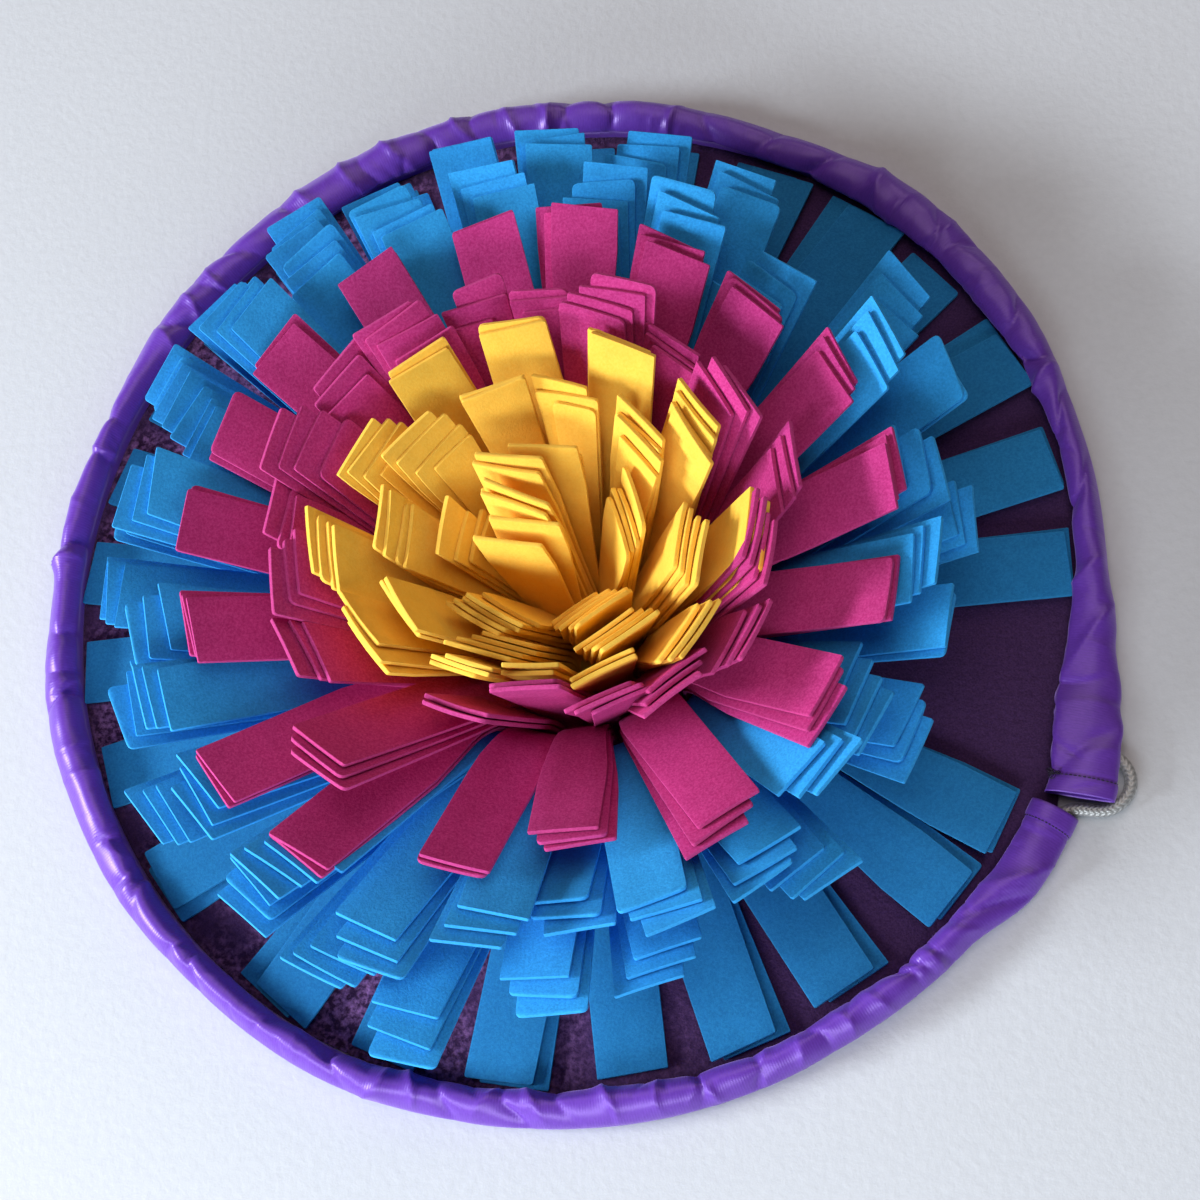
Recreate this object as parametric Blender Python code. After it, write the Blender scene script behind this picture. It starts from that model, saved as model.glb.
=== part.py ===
"""Snuffle mat: a round felt base, a gathered satin rim with its drawstring, and a
flower of felt strips sewn on in rounds, with a few standing strips in its middle.

Lengths in the tables are in millimetres. Bearings are in degrees, clockwise from +Y,
seen from above. The mat rests on z = 0.
"""
import math

import bmesh
import bpy
from mathutils import Vector

MM = 0.001

# ---------------------------------------------------------------- driving dimensions
FELT = 2.0              # thickness of a felt strip
STRIP_WIDTH = 28.0      # every strip is cut to this width
LAYER_PITCH = 2.4       # from one strip of a bundle to the next
GAP = 0.35              # clear space between pieces that touch
BASE_THICKNESS = 3.0
RIM_WIDEST = 228.0      # outer radius of the rim where it is widest

FLOWER_X = 6.0          # the strips are sewn a little off the middle of the base
FLOWER_Y = -14.0
LEAN_X = -0.125         # and the flower leans back as it rises, per millimetre of height
LEAN_Y = 0.20

ROOT_RADIUS = 86.0      # seam radius of the lowest raised strips
ARCH_HEIGHT = 38.0      # height at which the lowest raised strips level out
ARCH_RUN = 36.0         # how far out they do so
ARCH_TURNS = (0, 40, 65, 90)    # where the arch has its bends, in degrees of its turn
SEAM_BASE = BASE_THICKNESS + GAP
SEAM_HEIGHT = 2.2       # thickness of the backing strip the roots are sewn to
SEAM_TOP = SEAM_BASE + SEAM_HEIGHT

# ---------------------------------------------------------------- colours
COLOURS = {
    "base": ("purple_felt", (0.055, 0.018, 0.075, 1.0), 0.95),
    "satin": ("purple_satin", (0.150, 0.035, 0.440, 1.0), 0.38),
    "cord": ("silver_cord", (0.420, 0.440, 0.440, 1.0), 0.45),
    "blue": ("blue_felt", (0.010, 0.230, 0.560, 1.0), 0.95),
    "magenta": ("magenta_felt", (0.420, 0.012, 0.140, 1.0), 0.95),
    "yellow": ("yellow_felt", (0.850, 0.480, 0.020, 1.0), 0.95),
}

# ---------------------------------------------------------------- the rounds of strips
# One row per round, from the lowest to the innermost: how far its two tiers lie
# outside the lowest arch, measured along the normal.
ROUND_COLUMNS = ("name", "colour", "tier_one", "tier_two")
ROUNDS = [
    ("fringe_blue_lower", "blue", 0.0, 6.0),
    ("fringe_blue_upper", "blue", 12.0, 20.4),
    ("fringe_magenta_outer", "magenta", 28.8, 28.8),
    ("fringe_magenta_inner", "magenta", 34.8, 40.8),
    ("fringe_yellow_outer", "yellow", 49.6, 49.6),
    ("fringe_yellow_middle", "yellow", 59.2, 59.2),
    ("fringe_yellow_heart", "yellow", 69.6, 69.6),
]

# One row per bundle of strips. reach: from the flower's axis to the tip. fan: sideways
# step from a strip to the one above it. step: how much shorter the one above is.
# tier: which of the round's two tiers it is on.
BUNDLE_COLUMNS = ("bearing", "reach", "strips", "fan", "step", "tier")
BUNDLES = {
    "fringe_blue_lower": [
        (0, 192, 2, 3, 5, 1),
        (12, 193, 2, -4, 6, 0),
        (27, 184, 2, 4, 5, 1),
        (52, 188, 2, 4, 9, 0),
        (66, 176, 1, 0, 0, 1),
        (84, 166, 2, -4, 5, 0),
        (102, 158, 1, 0, 0, 1),
        (118, 160, 2, -5, 4, 0),
        (142, 168, 2, 4, 5, 1),
        (166, 172, 2, -5, 6, 0),
        (181, 178, 2, 4, 6, 1),
        (197, 203, 2, 3, 9, 0),
        (208, 187, 2, -4, 5, 1),
        (223, 184, 2, 4, 6, 0),
        (237, 189, 2, -3, 5, 1),
        (254, 186, 2, 4, 6, 0),
        (268, 184, 2, -3, 4, 1),
        (282, 186, 2, 4, 5, 0),
        (298, 191, 2, -4, 5, 1),
        (311, 191, 2, 4, 4, 0),
        (324, 192, 2, -3, 5, 1),
        (336, 191, 2, 4, 6, 0),
        (348, 191, 1, 0, 0, 1),
    ],
    "fringe_blue_upper": [
        (8, 168, 3, -3, 7, 0),
        (23, 160, 2, 4, 6, 1),
        (38, 152, 3, -4, 7, 0),
        (62, 160, 2, 4, 6, 1),
        (79, 158, 2, -5, 7, 0),
        (96, 154, 2, 4, 5, 1),
        (118, 146, 3, -5, 6, 0),
        (132, 150, 2, 5, 6, 1),
        (147, 158, 2, -5, 5, 0),
        (162, 163, 2, 4, 6, 1),
        (177, 152, 2, 5, 6, 0),
        (188, 162, 2, -4, 7, 1),
        (203, 178, 2, 4, 8, 0),
        (217, 169, 3, -4, 6, 1),
        (235, 172, 2, 4, 5, 0),
        (249, 170, 2, -3, 5, 1),
        (261, 168, 2, 3, 6, 0),
        (280, 171, 2, 4, 5, 1),
        (294, 172, 3, -3, 6, 0),
        (310, 169, 2, 4, 5, 1),
        (323, 171, 2, -3, 6, 0),
        (337, 169, 3, 3, 6, 1),
        (352, 171, 2, 4, 6, 0),
    ],
    "fringe_magenta_outer": [
        (6, 143, 2, 4, 1, 0),
        (24, 136, 2, 3, 3, 0),
        (42, 132, 2, 4, 2, 0),
        (62, 138, 2, 3, 3, 0),
        (82, 142, 2, 4, 2, 0),
        (102, 140, 1, 0, 0, 0),
        (123, 134, 2, -4, 3, 0),
        (149, 140, 2, -5, 3, 0),
        (174, 123, 2, 3, 2, 0),
        (194, 135, 1, 0, 0, 0),
        (216, 155, 1, 0, 0, 0),
        (233, 157, 1, 0, 0, 0),
        (257, 144, 2, -3, 2, 0),
        (276, 145, 1, 0, 0, 0),
        (293, 142, 1, 0, 0, 0),
        (309, 141, 1, 0, 0, 0),
        (329, 141, 1, 0, 0, 0),
        (350, 141, 1, 0, 0, 0),
    ],
    "fringe_magenta_inner": [
        (2, 101, 2, 3, 4, 0),
        (19, 102, 3, -4, 4, 1),
        (38, 94, 2, 4, 4, 0),
        (58, 97, 2, -4, 4, 1),
        (79, 106, 2, 3, 5, 0),
        (99, 95, 3, -4, 3, 1),
        (121, 98, 2, 4, 4, 0),
        (143, 97, 2, -4, 4, 1),
        (165, 94, 2, 4, 4, 0),
        (187, 97, 2, -3, 4, 1),
        (205, 110, 2, 3, 5, 0),
        (219, 126, 2, 3, 3, 1),
        (243, 106, 2, -3, 5, 0),
        (260, 103, 2, 4, 5, 1),
        (276, 106, 2, -4, 5, 0),
        (293, 110, 3, 3, 6, 1),
        (310, 108, 2, -4, 5, 0),
        (328, 107, 3, 3, 5, 1),
        (345, 105, 2, -4, 5, 0),
    ],
    "fringe_yellow_outer": [
        (27, 83, 2, 2, 2, 0),
        (60, 79, 3, 3, 3, 0),
        (96, 89, 2, -3, 3, 0),
        (128, 81, 2, 3, 3, 0),
        (157, 72, 2, -3, 2, 0),
        (190, 68, 2, 3, 2, 0),
        (214, 76, 2, -3, 4, 0),
        (240, 82, 1, 0, 0, 0),
        (264, 86, 3, -3, 3, 0),
        (300, 80, 3, 3, 4, 0),
        (327, 84, 1, 0, 0, 0),
        (355, 83, 1, 0, 0, 0),
    ],
    "fringe_yellow_middle": [
        (13, 60, 2, 3, 3, 0),
        (50, 59, 3, 3, 3, 0),
        (100, 68, 3, -3, 4, 0),
        (143, 60, 3, 2, 4, 0),
        (200, 54, 3, -2, 4, 0),
        (238, 60, 1, 0, 0, 0),
        (274, 62, 3, -2, 4, 0),
        (312, 63, 3, 3, 4, 0),
        (345, 58, 1, 0, 0, 0),
    ],
    "fringe_yellow_heart": [
        (9, 34, 1, 0, 0, 0),
        (76, 40, 2, 2, 3, 0),
        (146, 40, 3, 2, 4, 0),
        (214, 42, 3, -2, 3, 0),
        (285, 38, 3, 2, 4, 0),
        (330, 33, 2, 2, 3, 0),
    ],
}

# The strips that stand in the middle, one behind the other, from the near side to the
# far side. foot: how far behind the flower's axis each is sewn. back and side: where its
# tip is. tall: height of the tip.
CORE_BEARING = 8.0
CORE_HALF = 9.0             # half the size of their backing
CORE_COLUMNS = ("foot", "back", "side", "tall")
CORE_STRIPS = [
    (-7.2, -13.0, -7.0, 62.0),
    (-4.8, -1.5, -1.0, 68.0),
    (-2.4, 2.5, -4.0, 71.0),
    (0.0, 5.5, -3.0, 74.0),
    (2.4, 12.5, -6.0, 73.0),
    (4.8, 16.5, -4.0, 75.0),
    (7.2, 26.0, 6.0, 68.0),
]

# The strips that lie on the base. second: how far round a second strip lies over it.
FLAT_COLUMNS = ("bearing", "reach", "strips", "second")
FLAT_STRIPS = [
    (0, 216, 1, 0),
    (10, 216, 1, 0),
    (22, 215, 2, 8),
    (34, 214, 2, 9),
    (46, 209, 1, 0),
    (58, 209, 2, 9),
    (73, 203, 2, 5),
    (86, 199, 2, 5),
    (103, 0, 0, 0),
    (119, 191, 2, 3),
    (129, 191, 2, 7),
    (145, 188, 2, 6),
    (159, 190, 2, 5),
    (174, 188, 1, 0),
    (188, 193, 2, 6),
    (204, 196, 1, 0),
    (220, 200, 2, -9),
    (237, 205, 2, 6),
    (253, 209, 1, 0),
    (266, 213, 1, 0),
    (278, 216, 1, 0),
    (290, 216, 1, 0),
    (301, 216, 1, 0),
    (312, 216, 1, 0),
    (324, 216, 1, 0),
    (336, 216, 1, 0),
    (348, 216, 1, 0),
]

# ---------------------------------------------------------------- the rim
# Sections of the gathered casing on its way round, by bearing. foot: radius of its inner
# foot. crest: radius of its highest line. out: outer radius. high: height of the crest.
# lap: how far its inner edge leans over the base. clear: height of its underside, which
# leaves the surface near the upper end, where the cord passes under it.
RIM_COLUMNS = ("bearing", "foot", "crest", "out", "high", "lap", "clear")
RIM_SECTIONS = [
    (118.1, 208.5, 216.0, 227.0, 10.5, 0.5, 0.0),
    (126.0, 209.5, 218.0, 227.5, 11.0, 0.8, 0.0),
    (135.0, 209.5, 214.0, 220.5, 14.0, 1.0, 0.0),
    (150.0, 209.5, 212.0, 220.0, 15.0, 2.5, 0.0),
    (161.0, 209.5, 214.0, 221.0, 13.0, 1.0, 0.0),
    (177.0, 209.5, 212.0, 221.5, 15.0, 2.5, 0.0),
    (190.0, 209.5, 214.0, 222.0, 14.0, 1.0, 0.0),
    (206.0, 210.5, 217.0, 223.5, 16.0, 0.2, 0.0),
    (223.0, 210.5, 217.0, 222.5, 17.0, 0.2, 0.0),
    (240.0, 210.5, 216.0, 225.0, 15.0, 0.8, 0.0),
    (258.0, 210.5, 217.0, 226.0, 17.0, 0.3, 0.0),
    (274.0, 210.0, 216.0, 222.5, 18.0, 0.6, 0.0),
    (290.0, 209.5, 215.0, 220.5, 18.0, 1.0, 0.0),
    (306.0, 209.5, 216.0, 225.0, 15.0, 1.0, 0.0),
    (318.0, 209.5, 217.0, 225.0, 16.0, 2.0, 0.0),
    (331.0, 209.5, 218.0, 228.0, 15.0, 2.5, 0.0),
    (351.0, 209.5, 219.0, 226.5, 16.0, 1.0, 0.0),
    (8.0, 209.5, 217.0, 224.0, 16.0, 1.2, 0.0),
    (26.0, 209.5, 216.0, 223.0, 14.0, 2.5, 0.0),
    (43.0, 209.5, 217.0, 226.5, 14.0, 3.0, 0.0),
    (57.0, 209.5, 216.0, 224.0, 13.0, 2.5, 0.0),
    (76.0, 209.5, 214.0, 219.5, 12.0, 2.0, 0.0),
    (90.0, 208.5, 212.5, 218.5, 11.5, 2.5, 0.0),
    (99.0, 207.5, 214.0, 222.5, 11.0, 4.5, 0.0),
    (105.5, 207.5, 216.0, 228.0, 10.5, 5.0, 0.6),
    (109.5, 208.5, 219.0, 232.0, 12.0, 3.5, 5.4),
    (116.4, 211.5, 224.0, 236.5, 12.5, 0.0, 5.6),
]
RIM_STATIONS = 140          # how many sections the sweep is cut into
PUCKERS = 31                # gathers round the rim
PUCKER_DEPTH = 1.5
MOUTH_DEPTH = 12.0          # how far each open end is hollow
MOUTH_WALL = 1.3            # thickness of the cloth at the open ends
END_SLANT = 1.7             # degrees by which the upper end is cut back at its outer edge

# ---------------------------------------------------------------- the cord
CORD_DIAMETER = 4.6
CORD_ROUTE = [
    (188.6, -108.6, 4.6),
    (191.8, -105.6, 4.6),
    (196.2, -103.3, 4.3),
    (201.5, -102.6, 3.6),
    (207.0, -103.2, 3.0),
    (212.4, -102.9, 2.6),
    (217.2, -100.6, 2.6),
    (220.5, -96.6, 2.6),
    (221.8, -91.6, 2.6),
    (220.6, -86.6, 2.6),
    (217.4, -82.4, 2.6),
    (213.6, -79.0, 2.6),
]


def material_for(key):
    """The plain material of one of the cloths."""
    name, colour, roughness = COLOURS[key]
    material = bpy.data.materials.get(name)
    if material is None:
        material = bpy.data.materials.new(name)
        material.use_nodes = True
        shader = material.node_tree.nodes["Principled BSDF"]
        shader.inputs["Base Color"].default_value = colour
        shader.inputs["Roughness"].default_value = roughness
    return material


def add_object(name, points, faces, colour, smooth=False):
    """Make one closed body out of points in millimetres and faces."""
    mesh = bpy.data.meshes.new(name)
    build = bmesh.new()
    corners = [build.verts.new(Vector(p) * MM) for p in points]
    for face in faces:
        build.faces.new([corners[i] for i in face])
    bmesh.ops.recalc_face_normals(build, faces=build.faces)
    bmesh.ops.triangulate(build, faces=build.faces)
    build.to_mesh(mesh)
    build.free()
    body = bpy.data.objects.new(name, mesh)
    bpy.context.scene.collection.objects.link(body)
    mesh.materials.append(material_for(colour))
    if smooth:
        mesh.shade_smooth()
        mesh.set_sharp_from_angle(angle=math.radians(40))
    return body


def direction(bearing):
    """Outward and sideways unit vectors of a bearing, seen from above."""
    angle = math.radians(bearing)
    return (math.sin(angle), math.cos(angle)), (math.cos(angle), -math.sin(angle))


def place(bearing, radius, side, height):
    """A point of the flower, leaned and set where the flower is sewn on."""
    out, across = direction(bearing)
    x = FLOWER_X + radius * out[0] + side * across[0]
    y = FLOWER_Y + radius * out[1] + side * across[1]
    rise = max(0.0, height - SEAM_TOP)
    return (x + LEAN_X * rise, y + LEAN_Y * rise, height)


def arch(layer_height):
    """Corner points of a layer's middle surface, as radius and height.

    The lowest layer is a quarter ellipse that rises from the seam and levels out.
    Every other layer is the same curve moved along its normal.
    """
    corners = []
    for turn in ARCH_TURNS:
        angle = math.radians(turn)
        x = ROOT_RADIUS + ARCH_RUN * (1 - math.cos(angle))
        z = SEAM_TOP + (ARCH_HEIGHT - SEAM_TOP) * math.sin(angle)
        dx = ARCH_RUN * math.sin(angle)
        dz = (ARCH_HEIGHT - SEAM_TOP) * math.cos(angle)
        size = math.hypot(dx, dz)
        corners.append((x - layer_height * dz / size, z + layer_height * dx / size))
    corners.append((RIM_WIDEST, ARCH_HEIGHT + layer_height))
    return corners


def strip_stations(layer, reach):
    """Lower and upper face points along a strip, from its first bend to its tip."""
    middle = arch(layer)
    lower = arch(layer - FELT / 2)
    upper = arch(layer + FELT / 2)
    stations = []
    for i in range(1, len(middle)):
        if middle[i][0] < reach - 3.0:
            stations.append((middle[i][0], lower[i], upper[i]))
            continue
        share = (reach - middle[i - 1][0]) / (middle[i][0] - middle[i - 1][0])
        pair = []
        for line in (lower, upper):
            one, two = line[i - 1], line[i]
            pair.append((one[0] + (two[0] - one[0]) * share,
                         one[1] + (two[1] - one[1]) * share))
        stations.append((reach, pair[0], pair[1]))
        break
    return stations


def neighbour_angle(rows, index, same_tier):
    """Half the angle to the nearer neighbour, in degrees."""
    bearing = rows[index]["bearing"]
    nearest = 360.0
    for other, row in enumerate(rows):
        if other == index:
            continue
        if same_tier and row["tier"] != rows[index]["tier"]:
            continue
        turn = abs((row["bearing"] - bearing + 180.0) % 360.0 - 180.0)
        nearest = min(nearest, turn)
    return nearest / 2


def half_width(radius, free_angle, shift):
    """Half the width a strip can have at a radius without reaching its neighbour."""
    room = radius * math.tan(math.radians(min(free_angle, 60.0))) - 0.6 - abs(shift)
    return max(1.6, min(STRIP_WIDTH / 2, room))


def raised_round(name, colour, tiers):
    """One round of raised strips on its ring of backing."""
    rows = [dict(zip(BUNDLE_COLUMNS, row)) for row in BUNDLES[name]]
    rows.sort(key=lambda row: row["bearing"])
    lowest = min(tiers)
    highest = max(tiers[row["tier"]] + (row["strips"] - 1) * LAYER_PITCH for row in rows)
    ring_out = ROOT_RADIUS - lowest + FELT / 2 + 0.3
    ring_in = ROOT_RADIUS - highest - FELT / 2 - 0.3
    points, faces, ends = [], [], []
    for index, row in enumerate(rows):
        near = neighbour_angle(rows, index, False)
        tier_near = neighbour_angle(rows, index, True)
        root_half = max(1.5, min(9.0, ring_in * math.tan(math.radians(near)) - 0.5))
        roots = []
        for k in range(row["strips"]):
            middle = ROOT_RADIUS - tiers[row["tier"]] - k * LAYER_PITCH
            roots.append((middle + FELT / 2, middle - FELT / 2))
        radii = [ring_out] + [r for pair in roots for r in pair] + [ring_in]
        top = []
        for radius in radii:
            pair = []
            for side in (-root_half, root_half):
                points.append(place(row["bearing"], radius, side, SEAM_TOP))
                pair.append(len(points) - 1)
            top.append(pair)
        low = []
        for radius in (ring_out, ring_in):
            pair = []
            for side in (-root_half, root_half):
                points.append(place(row["bearing"], radius, side, SEAM_BASE))
                pair.append(len(points) - 1)
            low.append(pair)
        # the backing under this bundle
        for k in range(0, len(radii), 2):
            faces.append((top[k][0], top[k][1], top[k + 1][1], top[k + 1][0]))
        faces.append((top[0][1], top[0][0], low[0][0], low[0][1]))
        faces.append((top[-1][0], top[-1][1], low[1][1], low[1][0]))
        faces.append((low[0][1], low[0][0], low[1][0], low[1][1]))
        ends.append((
            [pair[0] for pair in top], [pair[0] for pair in low],
            [pair[1] for pair in top], [pair[1] for pair in low],
        ))
        # the strips
        for k in range(row["strips"]):
            layer = tiers[row["tier"]] + k * LAYER_PITCH
            reach = row["reach"] - k * row["step"]
            spread = (k - (row["strips"] - 1) / 2) * row["fan"]
            ring = [top[1 + 2 * k][0], top[1 + 2 * k][1], top[2 + 2 * k][1], top[2 + 2 * k][0]]
            for radius, below, above in strip_stations(layer, reach):
                share = (radius - ROOT_RADIUS + layer) / (reach - ROOT_RADIUS + layer)
                side = spread * share ** 1.5
                half = half_width(radius, tier_near, side)
                here = []
                for sign, spot in ((-1, below), (1, below), (1, above), (-1, above)):
                    points.append(place(row["bearing"], spot[0], side + sign * half, spot[1]))
                    here.append(len(points) - 1)
                for i in range(4):
                    j = (i + 1) % 4
                    faces.append((ring[i], ring[j], here[j], here[i]))
                ring = here
            faces.append(tuple(ring))
    # the backing between the bundles
    for index, end in enumerate(ends):
        after = ends[(index + 1) % len(ends)]
        top_one, low_one = end[2], end[3]
        top_two, low_two = after[0], after[1]
        faces.append(tuple(top_one + top_two[::-1]))
        faces.append((low_one[0], low_one[1], low_two[1], low_two[0]))
        faces.append((top_one[0], low_one[0], low_two[0], top_two[0]))
        faces.append((low_one[1], top_one[-1], top_two[-1], low_two[1]))
    return add_object(name, points, faces, colour)


def core_strips():
    """The standing strips in the middle, on a backing of their own."""
    rows = [dict(zip(CORE_COLUMNS, row)) for row in CORE_STRIPS]
    points, faces = [], []
    edges = [-CORE_HALF]
    for row in rows:
        edges += [row["foot"] - FELT / 2, row["foot"] + FELT / 2]
    edges.append(CORE_HALF)
    top = []
    for back in edges:
        half = math.sqrt(max(4.0, CORE_HALF ** 2 * 1.25 - back * back)) - 1.0
        pair = []
        for side in (-half, half):
            points.append(place(CORE_BEARING, back, side, SEAM_TOP))
            pair.append(len(points) - 1)
        top.append(pair)
    low = []
    for back, pair in zip(edges, top):
        ends = []
        for number in pair:
            x, y, _ = points[number]
            points.append((x, y, SEAM_BASE))
            ends.append(len(points) - 1)
        low.append(ends)
    for i in range(len(edges) - 1):
        faces.append((low[i][0], low[i][1], low[i + 1][1], low[i + 1][0]))
        faces.append((top[i][0], top[i + 1][0], low[i + 1][0], low[i][0]))
        faces.append((top[i][1], top[i + 1][1], low[i + 1][1], low[i][1]))
        if i % 2 == 0:
            faces.append((top[i][0], top[i][1], top[i + 1][1], top[i + 1][0]))
    faces.append((top[0][0], top[0][1], low[0][1], low[0][0]))
    faces.append((top[-1][0], top[-1][1], low[-1][1], low[-1][0]))
    for k, row in enumerate(rows):
        ring = [top[1 + 2 * k][0], top[1 + 2 * k][1], top[2 + 2 * k][1], top[2 + 2 * k][0]]
        for share in (0.5, 1.0):
            height = SEAM_TOP + (row["tall"] - SEAM_TOP) * share
            back = row["foot"] + (row["back"] - row["foot"]) * share ** 1.2
            side = row["side"] * share ** 1.5
            half = STRIP_WIDTH / 2 * (0.72 if share < 1.0 else 1.0)
            here = []
            for sign, face_side in ((-1, -1), (1, -1), (1, 1), (-1, 1)):
                points.append(place(CORE_BEARING, back + face_side * FELT / 2,
                                    side + sign * half, height))
                here.append(len(points) - 1)
            for i in range(4):
                j = (i + 1) % 4
                faces.append((ring[i], ring[j], here[j], here[i]))
            ring = here
        faces.append(tuple(ring))
    return add_object("fringe_yellow_core", points, faces, "yellow")


def flat_round():
    """The strips that lie on the base, on their own ring of backing."""
    name = "fringe_blue_flat"
    rows = [dict(zip(FLAT_COLUMNS, row)) for row in FLAT_STRIPS]
    ring_in = ROOT_RADIUS + 2.6
    ring_out = ring_in + 5.0
    first = SEAM_BASE
    second = SEAM_BASE + FELT + GAP
    top_of_ring = second + FELT
    points, faces, ends = [], [], []
    for index, row in enumerate(rows):
        bearing = row["bearing"]
        before = rows[index - 1]["bearing"]
        after = rows[(index + 1) % len(rows)]["bearing"]
        near = min((bearing - before) % 360.0, (after - bearing) % 360.0) / 2
        root_half = min(9.0, ring_in * math.tan(math.radians(near)) - 0.6)
        levels = [first, first + FELT]
        if row["strips"] == 2:
            levels += [second, second + FELT]
        elif row["strips"] == 1:
            levels += [top_of_ring]
        else:
            levels = [first, top_of_ring]
        outer = []
        for height in levels:
            pair = []
            for side in (-root_half, root_half):
                points.append(place(bearing, ring_out, side, height))
                pair.append(len(points) - 1)
            outer.append(pair)
        inner = []
        for height in (first, top_of_ring):
            pair = []
            for side in (-root_half, root_half):
                points.append(place(bearing, ring_in, side, height))
                pair.append(len(points) - 1)
            inner.append(pair)
        blank = 0 if row["strips"] == 0 else 1
        faces.append((outer[blank][0], outer[blank][1], outer[blank + 1][1],
                      outer[blank + 1][0]))
        faces.append((outer[-1][0], outer[-1][1], inner[1][1], inner[1][0]))
        faces.append((outer[0][1], outer[0][0], inner[0][0], inner[0][1]))
        faces.append((inner[0][0], inner[0][1], inner[1][1], inner[1][0]))
        ends.append((
            [pair[0] for pair in outer], [pair[0] for pair in inner],
            [pair[1] for pair in outer], [pair[1] for pair in inner],
        ))
        for k in range(row["strips"]):
            ring = [outer[2 * k][0], outer[2 * k][1], outer[2 * k + 1][1], outer[2 * k + 1][0]]
            bottom = first if k == 0 else second
            end = row["reach"] - 3.0 * k
            for share in (0.3, 1.0):
                radius = ring_out + (end - ring_out) * share
                side = row["second"] * share if k == 1 else 0.0
                room = radius * math.tan(math.radians(near)) - 0.5
                half = min(STRIP_WIDTH / 2, room)
                if k == 1 and row["second"] > 0:
                    side = min(side, radius * math.tan(math.radians(near)) + 6.0 - half)
                here = []
                for sign, height in ((-1, bottom), (1, bottom), (1, bottom + FELT),
                                     (-1, bottom + FELT)):
                    out, across = direction(bearing)
                    x = FLOWER_X + radius * out[0] + (side + sign * half) * across[0]
                    y = FLOWER_Y + radius * out[1] + (side + sign * half) * across[1]
                    points.append((x, y, height))
                    here.append(len(points) - 1)
                for i in range(4):
                    j = (i + 1) % 4
                    faces.append((ring[i], ring[j], here[j], here[i]))
                ring = here
            faces.append(tuple(ring))
    for index, end in enumerate(ends):
        after = ends[(index + 1) % len(ends)]
        faces.append(tuple(end[2] + after[0][::-1]))
        faces.append((end[3][0], end[3][1], after[1][1], after[1][0]))
        faces.append((end[2][0], end[3][0], after[1][0], after[0][0]))
        faces.append((end[3][1], end[2][-1], after[0][-1], after[1][1]))
    return add_object(name, points, faces, "blue")


def smooth_between(rows, key, bearing):
    """Read a rim column at a bearing, eased from one section to the next."""
    turn = (bearing - rows[0]["bearing"]) % 360.0
    stops = [(row["bearing"] - rows[0]["bearing"]) % 360.0 for row in rows]
    for one in range(len(rows) - 1):
        if stops[one] <= turn <= stops[one + 1]:
            share = (turn - stops[one]) / (stops[one + 1] - stops[one])
            ease = share * share * (3 - 2 * share)
            return rows[one][key] + (rows[one + 1][key] - rows[one][key]) * ease
    return rows[-1][key]


def rim_section(rows, bearing, wall):
    """The outline of the casing at a bearing, as (radius, height) pairs."""
    foot = smooth_between(rows, "foot", bearing)
    crest = smooth_between(rows, "crest", bearing)
    out = smooth_between(rows, "out", bearing)
    high = smooth_between(rows, "high", bearing)
    lap = smooth_between(rows, "lap", bearing)
    gathers = []
    for skew in (0.0, 2.2, 4.4):
        turn = bearing + skew
        wave = math.sin(math.radians(turn * PUCKERS + 60.0 * math.sin(math.radians(turn * 5))))
        wave += 0.7 * math.sin(math.radians(turn * 47.0 + 40.0))
        gathers.append(wave * PUCKER_DEPTH)
    clear = smooth_between(rows, "clear", bearing)
    thick = high - clear
    points = [
        [foot + 1.6, clear],
        [foot, clear + min(1.4, thick * 0.2)],
        [foot + 0.4, clear + max(thick * 0.36, BASE_THICKNESS + 0.8 - clear)],
        [foot - lap, clear + thick * 0.64],
        [foot - lap + (crest - foot + lap) * 0.42, clear + thick * 0.9 + gathers[0] * 0.5],
        [crest, high + gathers[0] * 0.8],
        [crest + (out - crest) * 0.5, clear + thick * 0.84 + gathers[1] * 0.9],
        [out - 0.9 + gathers[2] * 0.4, clear + thick * 0.55 + gathers[2] * 0.5],
        [out + gathers[2] * 0.5, clear + thick * 0.28],
        [out - 1.8, clear],
    ]
    if wall > 0:
        middle_r = sum(p[0] for p in points) / len(points)
        middle_z = sum(p[1] for p in points) / len(points)
        for p in points:
            reach = math.hypot(p[0] - middle_r, p[1] - middle_z)
            p[0] += (middle_r - p[0]) * wall / reach
            p[1] += (middle_z - p[1]) * wall / reach
    return points


def rim_ring(rows, bearing, wall, points):
    """Add the points of one section and return their numbers."""
    near_end = max(0.0, 1.0 - ((rows[-1]["bearing"] - bearing) % 360.0) / 12.0)
    foot = smooth_between(rows, "foot", bearing)
    ring = []
    for radius, height in rim_section(rows, bearing, wall):
        slant = END_SLANT * near_end * max(0.0, radius - foot) / 25.0
        out, _ = direction(bearing - slant)
        points.append((radius * out[0], radius * out[1], height))
        ring.append(len(points) - 1)
    return ring


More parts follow.
